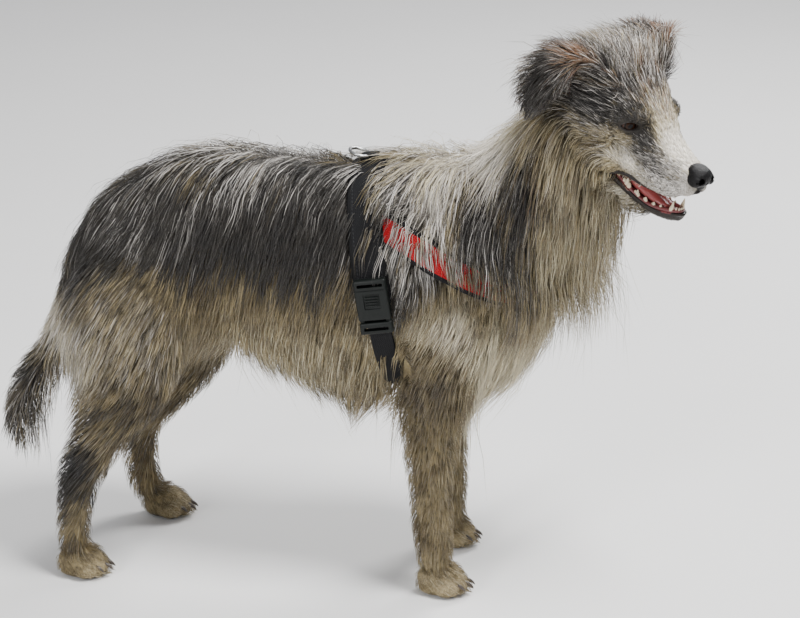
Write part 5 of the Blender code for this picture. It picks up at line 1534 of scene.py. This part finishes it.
def make_nose():
    shells = Shells()
    shells.ellipsoid(NOSE_CENTRE, (0.0112, 0.0142, 0.0104), HEAD)
    shells.ellipsoid(NOSE_CENTRE + Vector((-0.004, 0, 0.0045)), (0.0110, 0.0120, 0.0062), HEAD)
    for sign in (-1, 1):
        wing = NOSE_CENTRE + Vector((0.0005, sign * 0.0092, -0.0020))
        shells.ellipsoid(wing, (0.0100, 0.0056, 0.0074), HEAD)
    shells.ellipsoid(NOSE_CENTRE + Vector((0.001, 0, -0.0075)), (0.0070, 0.0055, 0.0070), HEAD)
    nose = shells.object("nose_leather")
    fuse(nose, 0.0006, 3)
    holes = Shells()
    for sign in (-1, 1):
        turn = HEAD @ Matrix.Translation((0.0870, sign * 0.0072, -0.0212))
        inner = turn @ Matrix.Rotation(math.radians(sign * 28), 4, "Z")
        holes.ellipsoid((0, 0, 0), (0.0064, 0.0036, 0.0038), inner)
        outer = turn @ Matrix.Translation((-0.0022, sign * 0.0022, -0.0012))
        outer = outer @ Matrix.Rotation(math.radians(sign * 66), 4, "Z")
        holes.ellipsoid((0, 0, 0), (0.0042, 0.0026, 0.0014), outer)
    groove = HEAD @ Matrix.Translation(NOSE_CENTRE + Vector((0.0102, 0, -0.006)))
    holes.ellipsoid((0, 0, 0), (0.0022, 0.0006, 0.0085), groove)
    holes = holes.object("holes")
    fuse(holes, 0.0004, 1)
    carve(nose, [holes])
    fuse(nose, 0.00045, 7)
    finish = Finish("nose_leather", Roughness=0.42, Specular_IOR_Level=0.2)
    place = finish.place()
    pebbles = finish.node("ShaderNodeTexVoronoi", values={"Vector": place, "Scale": 900.0})
    cloud = finish.noise(place, 160.0, 3.0)
    finish.feed("Base Color", finish.mix(cloud, shade(6, 5, 6), shade(15, 13, 14)))
    finish.feed("Roughness", pebbles * 0.3 + 0.26)
    finish.bump(pebbles * -1.0 + cloud * 0.3, 0.0005, 0.8)
    finish_piece(nose, finish.material, ["nose"])


def make_tongue():
    tube = Tube(TONGUE, UP, JAW_SWING, steps=10)
    shells = Shells()
    shells.add(*tube.shell(around=36))
    tongue = shells.object("tongue_flesh")
    points = moved(points_of(tongue), JAW_SWING.inverted())
    middle = np.exp(-((points[:, 1] / 0.0022) ** 2)) * (points[:, 2] > -0.0500)
    points[:, 2] -= 0.0016 * middle
    set_points(tongue, moved(points, JAW_SWING))
    fuse(tongue, 0.0006, 2)
    finish = Finish("tongue", Roughness=0.32, Subsurface_Weight=0.12, Coat_Weight=0.3)
    finish.shader.inputs["Subsurface Radius"].default_value = (0.006, 0.002, 0.001)
    place = finish.place()
    cells = finish.node("ShaderNodeTexVoronoi", values={"Vector": place, "Scale": 1400.0})
    cloud = finish.noise(place, 120.0, 3.0)
    # Both tongue colours are darkened to paint the shade inside the mouth.
    finish.feed("Base Color", finish.mix(cloud, shade(150, 62, 62), shade(168, 86, 82)))
    finish.bump(cells * -1.0 + cloud, 0.0004, 0.7)
    finish_piece(tongue, finish.material, ["tongue"])


def tooth(base, height, half_length, half_width, around=10):
    """A tooth from its root in the gum to a blunt, slightly hooked point."""
    curve = 0.16 * abs(height)
    rows = []
    for t, share in TOOTH_PROFILE:
        ring = np.zeros((around, 3))
        ring[:, 0] = np.cos(circle(around)) * half_length * share - curve * t * t
        ring[:, 1] = np.sin(circle(around)) * half_width * share
        ring[:, 2] = height * t
        rows.append(ring)
    points = np.vstack(rows + [[[-curve, 0, height]]]) + np.array(base)
    faces = wall_faces(len(rows), around)
    last, tip = (len(rows) - 1) * around, len(points) - 1
    faces += [(last + k, last + (k + 1) % around, tip) for k in range(around)]
    faces.append(tuple(range(around))[::-1])
    return points, faces


def make_teeth(name, rows, sign, place, node):
    gum = [(x, y, z - sign * 0.0006) for x, z, y, *_ in rows]
    line = [(x, -y, z) for x, y, z in gum[::-1]] + gum
    shells = Shells()
    shells.cord(curve_through(line, 90), GUM_RADIUS, place, around=12)
    gum_points = shells.count
    for x, z, y, height, half_length, half_width in rows:
        cusps, length = [(0.0, 1.0)], half_length
        if half_length > CHEEK_TOOTH:
            cusps += [(half_length * 0.62, 0.62), (-half_length * 0.62, 0.58)]
            length *= 0.55
        for side in (-1, 1):
            for shift, share in cusps:
                base = (x + shift, side * y, z)
                points, faces = tooth(base, sign * height * share, length, half_width)
                shells.add(moved(points, place), faces)
    teeth = shells.object(name)
    pink = np.zeros((shells.count, 4))
    pink[:gum_points, 0] = 1.0
    colour_layer(teeth.data, "gum", pink)
    finish = Finish(name, Roughness=0.3, Coat_Weight=0.4, Coat_Roughness=0.1)
    spot = finish.place()
    cloud = finish.noise(spot, 300.0, 3.0)
    ivory = finish.mix(cloud, shade(226, 214, 190), shade(204, 184, 148))
    flesh = finish.mix(cloud, shade(140, 66, 66), shade(80, 42, 44))
    gums = finish.parts(finish.attribute("gum"))[0]
    finish.feed("Base Color", finish.mix(gums, ivory, flesh))
    finish.bump(cloud, 0.0003, 0.4)
    finish_piece(teeth, finish.material, [node])


def make_claws():
    finish = Finish("claw", Roughness=0.38, Coat_Weight=0.2)
    grain = finish.noise(finish.stretched(finish.place(), (0.2, 1.0, 1.0)), 1500.0, 3.0)
    finish.feed("Base Color", finish.mix(grain, shade(40, 34, 31), shade(84, 74, 66)))
    finish.bump(grain, 0.0003, 0.5)
    rows = [(x, 0, z, size, size * 1.05, size * 0.78) for x, z, size in CLAW_PATH]
    points, faces = Tube(rows, UP, Matrix(), steps=4).shell(around=14)
    for key, tip in PAW_TIPS.items():
        shells = Shells()
        for toe in paw_toes(tip):
            spread_out = Matrix.Rotation((toe.y - tip.y) * 9.0, 4, "Z")
            place = BODY @ Matrix.Translation(toe + Vector((0.0118, 0, 0.0022))) @ spread_out
            shells.add(moved(points, place), faces)
        claws = shells.object("claws_" + key)
        nodes = ["claw_%s_%d" % (key, number) for number in (1, 2, 3, 4)]
        finish_piece(claws, finish.material, nodes)


# ---- harness --------------------------------------------------------------------------------
def loop_point(angle, half_wide, up, down):
    """A point on a strap's inner line and the way outward there, in the strap's own frame."""
    cos, sin = math.cos(angle), math.sin(angle)
    radial = (abs(cos) ** LOOP_ROUNDNESS + abs(sin) ** LOOP_ROUNDNESS) ** (-1 / LOOP_ROUNDNESS)
    tall = up if sin > 0 else down
    point = Vector((0, radial * cos * half_wide, radial * sin * tall))
    return point, Vector((0, cos * tall, sin * half_wide)).normalized()


def band(name, place, sizes, angles, width_at, lean, closed, material, node):
    """A soft-edged strap round a loop, with a UV map in metres along and across it."""
    points, spots = [], []
    run, last = 0.0, None
    for angle in angles:
        inner, out = loop_point(angle, *sizes)
        run += (inner - last).length if last else 0.0
        last = inner
        width = width_at(angle)
        ripple_out = 0.0003 * math.sin(run * 160) + 0.0004 * math.sin(run * 47)
        for across, height in STRAP_OUTLINE:
            rise = height * STRAP_THICKNESS
            way = Vector((1, -math.cos(angle) * lean, 0)) * across * width
            spot = place @ (inner + way + out * (rise + ripple_out))
            points.append(spot if closed else tucked(spot, rise))
            spots.append((run, across * width))
    each = len(STRAP_OUTLINE)
    total = len(angles)
    faces = wall_faces(total, each, closed)
    if not closed:
        faces.append(tuple(range(each)))
        faces.append(tuple(range((total - 1) * each, total * each))[::-1])
    thing = mesh_object(name, points, faces)
    layer = thing.data.uv_layers.new(name="Weave")
    for polygon in thing.data.polygons:
        rows = {v // each for v in polygon.vertices}
        wraps = closed and rows == {0, total - 1}
        for loop, vertex in zip(polygon.loop_indices, polygon.vertices):
            along, across = spots[vertex]
            if wraps and vertex // each == 0:
                along = run + (Vector(points[each]) - Vector(points[0])).length
            layer.data[loop].uv = (along, across)
    outward(thing)
    finish_piece(thing, material, [node], angle=50)


def tucked(spot, rise):
    """Leads the end of the breast strap in under the girth."""
    local = GIRTH_PLACE.inverted() @ spot
    tall = GIRTH_UP if local.z > 0 else GIRTH_DOWN
    power = LOOP_ROUNDNESS
    out = (abs(local.y / GIRTH_HALF_WIDTH) ** power + abs(local.z / tall) ** power) ** (1 / power)
    most = 0.965 + rise / 0.09 + max(local.x - 0.014, 0) / 0.030 * 0.12
    scale = min(most / out, 1.0)
    return GIRTH_PLACE @ Vector((local.x, local.y * scale, local.z * scale))


def webbing(name, yarn, light_yarn, edge, half_width, stitches=None):
    """Woven nylon: ribs across the strap, a twill across the ribs, edges and stitching."""
    finish = Finish(name, Roughness=0.7, Specular_IOR_Level=0.2)
    spot = finish.node("ShaderNodeUVMap", {"uv_map": "Weave"})
    along, across, _ = finish.parts(spot)
    turn = 2 * math.pi
    ribs = (along * (turn / RIB_PITCH)).sine()
    warp = (across * (turn / YARN_PITCH) + (along * (turn / RIB_PITCH / 2)).sine() * 1.5).sine()
    weave = ribs * 0.5 + warp * 0.5
    fuzz = finish.noise(finish.stretched(spot, (1.0, 1.6, 1.0)), 1800.0, 2.0)
    base = finish.mix((weave * 0.5 + fuzz * 0.5 + 0.25).within(0.1, 0.9), yarn, light_yarn)
    out = across.simple("ABSOLUTE")
    border = out.within(half_width - EDGE_WIDTH, half_width - EDGE_WIDTH + 0.0008)
    base = finish.mix(border, base, edge)
    height = weave * 0.5 + fuzz * 0.4
    if stitches:
        seam = (out - (half_width - SEAM_INSET)).simple("ABSOLUTE")
        dashes = (along * (turn / STITCH_PITCH)).sine().within(-0.3, 0.0)
        thread = seam.within(0.0007, 0.0004) * dashes
        base = finish.mix(thread, base, stitches)
        height = height + thread * 1.6
    finish.feed("Base Color", base)
    finish.bump(height, 0.0005, 0.8)
    return finish.material


def girth_width(angle):
    share = min(max(-math.sin(angle) * 4, 0.0), 1.0)
    return GIRTH_WIDTH + (GIRTH_STRAP_WIDTH - GIRTH_WIDTH) * share


def breast_width(angle):
    return CHEST_STRAP_WIDTH


def make_straps(red, black):
    edge, thread = shade(9, 9, 10), shade(44, 44, 46)
    dark = webbing("black_webbing", black, shade(22, 22, 24), edge, GIRTH_WIDTH / 2, thread)
    edge, thread = shade(14, 14, 16), shade(150, 30, 34)
    ruby = webbing("red_webbing", red, shade(190, 24, 34), edge, CHEST_STRAP_WIDTH / 2, thread)
    full = [2 * math.pi * k / 180 for k in range(180)]
    sizes = (GIRTH_HALF_WIDTH, GIRTH_UP, GIRTH_DOWN)
    band("girth_strap", GIRTH_PLACE, sizes, full, girth_width, 0.0, True, dark, "girth")
    # The breast strap keeps only the part of its loop that lies ahead of the girth.
    sizes = (CHEST_STRAP_HALF_WIDTH, CHEST_STRAP_FRONT, CHEST_STRAP_BACK)
    to_girth = GIRTH_PLACE.inverted()
    ahead = []
    for k in range(-80, 260):
        angle = math.radians(k + 0.5)
        if (to_girth @ (STRAP_PLACE @ loop_point(angle, *sizes)[0])).x > 0.006:
            ahead.append(angle)
    band(
        "breast_strap", STRAP_PLACE, sizes, ahead, breast_width, CHEST_STRAP_LEAN, False, ruby,
        "chest_strap",
    )  # fmt: skip
    keeper = box_piece("ring_loop", (0, 0, GIRTH_UP + STRAP_THICKNESS + 0.0035), KEEPER_SIZE, 0.0024)
    uv_from_place(keeper)
    finish_piece(keeper, dark, ["ring_keeper"], angle=40)


def box_piece(name, centre, size, bevel, segments=4):
    """A box with rounded edges, its centre and size in the girth's own frame."""
    deselect()
    bpy.ops.mesh.primitive_cube_add(size=1)
    thing = bpy.context.active_object
    thing.name = thing.data.name = name
    set_points(thing, points_of(thing) * np.array(size) + np.array(centre))
    if bevel:
        apply_modifier(thing, "BEVEL", width=bevel, segments=segments, limit_method="NONE")
    set_points(thing, moved(points_of(thing), GIRTH_PLACE))
    return thing


def uv_from_place(thing):
    """The webbing's UV map for a small folded piece, across the girth and round it."""
    local = moved(points_of(thing), GIRTH_PLACE.inverted())
    while thing.data.uv_layers:
        thing.data.uv_layers.remove(thing.data.uv_layers[0])
    layer = thing.data.uv_layers.new(name="Weave")
    for polygon in thing.data.polygons:
        for loop, vertex in zip(polygon.loop_indices, polygon.vertices):
            layer.data[loop].uv = (local[vertex][1] + local[vertex][2], local[vertex][0])


def make_buckle(sign, plastic):
    """Side-release buckle: a bevelled body, a smaller tongue below it and two spring prongs."""
    out = sign * (GIRTH_HALF_WIDTH + STRAP_THICKNESS + FITTING_GAP + BUCKLE_SIZE.y / 2)
    middle = Vector((0, out, BUCKLE_LEVEL))
    wide, thick, tall = BUCKLE_SIZE
    name = "side_buckle_" + ("left" if sign > 0 else "right")
    body = box_piece(name, middle + UP * 0.0075, (wide, thick, tall * 0.75), 0.0026)
    face = Vector((0, sign * thick / 2, 0))
    cutters = [
        box_piece("cut", middle + UP * 0.0235, (wide - 0.008, thick * 2, 0.0034), 0.0008),
        box_piece("cut", middle + face + UP * 0.0060, (wide * 0.50, 0.0022, 0.0160), 0.0009),
        box_piece("cut", middle + face + UP * 0.0185, (wide * 0.92, 0.0016, 0.0011), 0.0),
    ]
    for way in (-1, 1):
        side = Vector((way * wide / 2, 0, -0.006))
        cutters.append(box_piece("cut", middle + side, (0.0105, thick * 0.62, 0.0180), 0.0014))
    carve(body, cutters)
    foot = box_piece("foot", middle - UP * 0.0232, (wide, thick * 0.92, 0.0130), 0.0022)
    carve(foot, [box_piece("cut", middle - UP * 0.0240, (wide - 0.009, thick * 2, 0.0036), 0.0008)])
    parts = [body, foot]
    for way in (-1, 1):
        side = Vector((way * (wide / 2 - 0.0038), 0, -0.0075))
        parts.append(box_piece("prong", middle + side, (0.0056, thick * 0.46, 0.0215), 0.0016))
    for k in range(4):
        rib = middle + face * 0.98 + UP * (0.0015 + k * 0.0030)
        parts.append(box_piece("rib", rib, (wide * 0.40, 0.0016, 0.0012), 0.0004, segments=2))
    activate(body)
    for part in parts:
        part.select_set(True)
    bpy.ops.object.join()
    body.name = body.data.name = name
    node = "buckle_left" if sign > 0 else "buckle_right"
    finish_piece(body, plastic, [node], angle=35)


def make_ring():
    steel = Finish("steel", Metallic=1.0, Roughness=0.28)
    marks = steel.noise(steel.stretched(steel.place(), (1.0, 1.0, 3.0)), 600.0, 4.0)
    steel.feed("Base Color", steel.mix(marks, shade(150, 150, 152), shade(206, 206, 204)))
    steel.feed("Roughness", marks * 0.25 + 0.18)
    steel.bump(marks, 0.0001, 0.3)
    lie = Matrix.Rotation(RING_LIE, 4, "Y") @ Matrix.Translation((-RING_RADIUS * 0.92, 0, 0))
    height = GIRTH_UP + STRAP_THICKNESS + FITTING_GAP + KEEPER_SIZE.z / 2 + 0.0005
    deselect()
    bpy.ops.mesh.primitive_torus_add(
        major_radius=RING_RADIUS, minor_radius=RING_WIRE, major_segments=64, minor_segments=18
    )
    ring = bpy.context.active_object
    ring.name = ring.data.name = "lead_ring"
    place = GIRTH_PLACE @ Matrix.Translation((0, 0, height)) @ lie
    set_points(ring, moved(points_of(ring), place))
    finish_piece(ring, steel.material, ["ring"])


def make_plastic():
    plastic = Finish("buckle_plastic", Roughness=0.42, Specular_IOR_Level=0.25)
    grain = plastic.noise(plastic.place(), 1300.0, 3.0, 0.7)
    plastic.feed("Base Color", plastic.mix(grain, shade(6, 9, 8), shade(16, 21, 18)))
    plastic.feed("Roughness", grain * 0.3 + 0.3)
    plastic.bump(grain, 0.0002, 0.5)
    return plastic.material


# ---- the skin and coat pieces -----------------------------------------------------------------
def build_skin(tones):
    skin = make_skin()
    facts = Skin(skin)
    colour_layer(skin.data, "marking", facts.marking)
    colour_layer(skin.data, "bare_and_lip_shadow", np.stack([facts.bare_and_lip_shadow, facts.mouth], 1))
    finish_piece(skin, skin_material(tones), FLESH_NODES)


def build_coat(settings, tones):
    skin = Skin(bpy.data.objects["skin"])
    tree = BVHTree.FromPolygons(skin.points.tolist(), skin.triangles.tolist())
    ground = {
        "close": skin.close[skin.triangles].mean(1),
        "comb": skin.comb[skin.triangles].mean(1),
        "mouth": skin.mouth[skin.triangles].mean(1),
    }
    rng = np.random.default_rng(settings.seed)
    region = skin.facts["region"]
    head = np.isin(region, codes("skull", "jaw", "ear"))
    low = (skin.points[:, 2] < 0.20) & np.isin(region, codes("foreleg", "hindleg"))
    leg = low | (region == REGIONS.index("paw"))
    furred = np.clip((skin.rim - skin.room) / 0.0012, 0, 1)
    furred *= 1 - np.clip(skin.mouth * 2, 0, 1)
    furred *= skin.points[:, 2] > 0.004
    dense = skin.facts["lie"][:, 4] * furred
    by_lips = 1 + 1.2 * np.clip((0.06 - skin.rim) / 0.05, 0, 1)
    share = 1.0
    kinds = (
        ("coat_long", dense * ~(head | leg), settings.long_locks, Manner(13, 0.42, 0.0022)),
        ("coat_head", dense * head * by_lips, settings.head_locks, Manner(8, 0.42, 0.0008)),
        ("coat_leg", dense * leg, settings.leg_locks, Manner(6, 0.26, 0.0006)),
    )
    for name, density, number, manner in kinds:
        corners, shares = sow(skin, density, int(number * share), rng)
        locks = Locks(skin, corners, shares, manner, rng)
        locks.grow(tree, ground, rng)
        lock_meshes(name, locks, coat_material(name, tones))


# ---- add-on -------------------------------------------------------------------------------------
def tone(name, description, *screen):
    """A colour setting, its default given in screen values."""
    return FloatVectorProperty(
        name=name, description=description, subtype="COLOR", default=shade(*screen)[:3], min=0, max=1
    )


class DogToneSettings(bpy.types.PropertyGroup):
    """Colours of the coat and the webbing."""

    charcoal: tone("Charcoal", "Dark locks of the saddle and face", 22, 20, 21)
    silver: tone("Silver", "Pale streaks through the dark coat", 244, 238, 230)
    fawn: tone("Fawn", "Ground colour of flanks and legs", 151, 135, 97)
    umber: tone("Umber", "Deeper patches of the ground colour", 101, 87, 57)
    cream: tone("Cream", "Palest fur of the chest and muzzle", 222, 212, 182)
    rust: tone("Rust", "Warm fur on the ears", 136, 92, 62)
    iris: tone("Iris", "Colour of the eyes", 24, 14, 9)
    red_yarn: tone("Red yarn", "Webbing of the breast strap", 130, 7, 14)
    black_yarn: tone("Black yarn", "Webbing of the girth", 9, 9, 11)


class DogCoatSettings(bpy.types.PropertyGroup):
    """How much coat grows."""

    long_locks: IntProperty(
        name="Long locks", description="Locks on the trunk, neck, tail and thighs", default=60000
    )
    head_locks: IntProperty(
        name="Head locks", description="Short locks on the head and ears", default=20000
    )
    leg_locks: IntProperty(
        name="Leg locks", description="Short locks on the lower legs and feet", default=12000
    )
    seed: IntProperty(name="Seed", description="Start of the coat's chance numbers", default=11)


class DogStageSettings(bpy.types.PropertyGroup):
    """Camera and lights."""

    lens: FloatProperty(
        name="Lens", description="Focal length in millimetres", default=130.1, min=10
    )
    key_light: FloatProperty(
        name="Key light", description="Power of the main light", default=106.0, unit="POWER"
    )


class DogSkin(bpy.types.Operator):
    """Builds the dog's one skin with its markings"""

    bl_idname = "dog.skin"
    bl_label = "Skin"

    def execute(self, context):
        build_skin(context.scene.dog_tones)
        return {"FINISHED"}


class DogCoat(bpy.types.Operator):
    """Grows the coat over the skin as locks of hair"""

    bl_idname = "dog.coat"
    bl_label = "Coat"

    def execute(self, context):
        build_coat(context.scene.dog_coat, context.scene.dog_tones)
        return {"FINISHED"}


class DogEyes(bpy.types.Operator):
    """Makes both eyes"""

    bl_idname = "dog.eyes"
    bl_label = "Eyes"

    def execute(self, context):
        for sign in (-1, 1):
            make_eye(sign, context.scene.dog_tones.iris)
        return {"FINISHED"}


class DogNose(bpy.types.Operator):
    """Makes the nose leather with its nostrils"""

    bl_idname = "dog.nose"
    bl_label = "Nose"

    def execute(self, context):
        make_nose()
        return {"FINISHED"}


class DogMouth(bpy.types.Operator):
    """Makes the tongue, the gums and the teeth"""

    bl_idname = "dog.mouth"
    bl_label = "Mouth"

    def execute(self, context):
        make_tongue()
        make_teeth("teeth_below", LOWER_TEETH, 1, JAW_SWING, "lower_teeth")
        make_teeth("teeth_above", UPPER_TEETH, -1, HEAD, "upper_teeth")
        return {"FINISHED"}


class DogClaws(bpy.types.Operator):
    """Makes the claws of all four feet"""

    bl_idname = "dog.claws"
    bl_label = "Claws"

    def execute(self, context):
        make_claws()
        return {"FINISHED"}


class DogStraps(bpy.types.Operator):
    """Makes the girth, the breast strap and the loop that holds the ring"""

    bl_idname = "dog.straps"
    bl_label = "Straps"

    def execute(self, context):
        tones = context.scene.dog_tones
        make_straps(colour(tones.red_yarn), colour(tones.black_yarn))
        return {"FINISHED"}


class DogFittings(bpy.types.Operator):
    """Makes the harness's two buckles and its ring"""

    bl_idname = "dog.fittings"
    bl_label = "Buckles and ring"

    def execute(self, context):
        plastic = make_plastic()
        for sign in (-1, 1):
            make_buckle(sign, plastic)
        make_ring()
        return {"FINISHED"}


class DogStage(bpy.types.Operator):
    """Sets the floor, the lights and the camera"""

    bl_idname = "dog.stage"
    bl_label = "Stage"

    def execute(self, context):
        build_stage(context.scene, context.scene.dog_stage)
        return {"FINISHED"}


OPERATORS = (
    DogSkin, DogCoat, DogEyes, DogNose, DogMouth, DogClaws, DogStraps, DogFittings, DogStage,
)  # fmt: skip


class DogPanel(bpy.types.Panel):
    """Lists the dog's pieces and its settings"""

    bl_idname = "VIEW3D_PT_dog"
    bl_label = "Shepherd dog"
    bl_space_type = "VIEW_3D"
    bl_region_type = "UI"
    bl_category = "Dog"

    def draw(self, context):
        column = self.layout.column(align=True)
        for operator in OPERATORS:
            column.operator(operator.bl_idname)
        for group in ("dog_tones", "dog_coat", "dog_stage"):
            box = self.layout.box()
            settings = getattr(context.scene, group)
            for key in settings.__annotations__:
                box.prop(settings, key)


# Each light: place, width of its disk, share of the key light's power.
LIGHTS = {
    "key": ((1.0, -0.5, 2.6), 0.9, 1.0),
    "fill": ((-1.2, -2.7, 1.3), 0.8, 0.45),
    "rim": ((0.9, 2.0, 2.2), 1.2, 0.7),
}
LIGHTS_AIM = Vector((0.0, 0.0, 0.3))
SKY_COLOUR, SKY_STRENGTH = (0.93, 0.95, 1.0, 1.0), 0.42
FLOOR_CORNERS = [(-6, -6, 0), (6, -6, 0), (6, 8, 0), (-6, 8, 0)]
CAMERA_PLACE = Vector((0.56379, -2.87236, 1.33))
CAMERA_WAY = Vector((-0.16373, 0.92855, -0.33315))


def stand_facing(scene, thing, place, way):
    """Puts a lamp or the camera at its place, looking along a way."""
    scene.collection.objects.link(thing)
    thing.location = place
    thing.rotation_euler = way.to_track_quat("-Z", "Y").to_euler()


def build_stage(scene, settings):
    floor = mesh_object("floor", FLOOR_CORNERS, [(0, 1, 2, 3)])
    finish = Finish("floor", Roughness=0.75)
    cloud = finish.noise(finish.place(), 3.0, 4.0)
    finish.feed("Base Color", finish.mix(cloud, shade(236, 235, 233), shade(242, 241, 240)))
    floor.data.materials.append(finish.material)
    scene.world = bpy.data.worlds.new("studio")
    scene.world.use_nodes = True
    sky = scene.world.node_tree.nodes["Background"].inputs
    sky["Color"].default_value = SKY_COLOUR
    sky["Strength"].default_value = SKY_STRENGTH
    for name, (place, size, share) in LIGHTS.items():
        light = bpy.data.lights.new(name, "AREA")
        light.shape = "DISK"
        light.size = size
        light.energy = settings.key_light * share
        stand_facing(scene, bpy.data.objects.new(name, light), place, LIGHTS_AIM - Vector(place))
    camera = bpy.data.objects.new("camera", bpy.data.cameras.new("camera"))
    camera.data.lens = settings.lens
    camera.data.sensor_width = 36.0
    stand_facing(scene, camera, CAMERA_PLACE, CAMERA_WAY)
    scene.camera = camera


CLASSES = (DogToneSettings, DogCoatSettings, DogStageSettings, *OPERATORS, DogPanel)


def register():
    for kind in CLASSES:
        bpy.utils.register_class(kind)
    bpy.types.Scene.dog_tones = PointerProperty(type=DogToneSettings)
    bpy.types.Scene.dog_coat = PointerProperty(type=DogCoatSettings)
    bpy.types.Scene.dog_stage = PointerProperty(type=DogStageSettings)


def unregister():
    del bpy.types.Scene.dog_stage
    del bpy.types.Scene.dog_coat
    del bpy.types.Scene.dog_tones
    for kind in reversed(CLASSES):
        bpy.utils.unregister_class(kind)


def main():
    register()
    bpy.ops.dog.skin()
    bpy.ops.dog.coat()
    bpy.ops.dog.eyes()
    bpy.ops.dog.nose()
    bpy.ops.dog.mouth()
    bpy.ops.dog.claws()
    bpy.ops.dog.straps()
    bpy.ops.dog.fittings()
    bpy.ops.dog.stage()


if __name__ == "__main__":
    main()
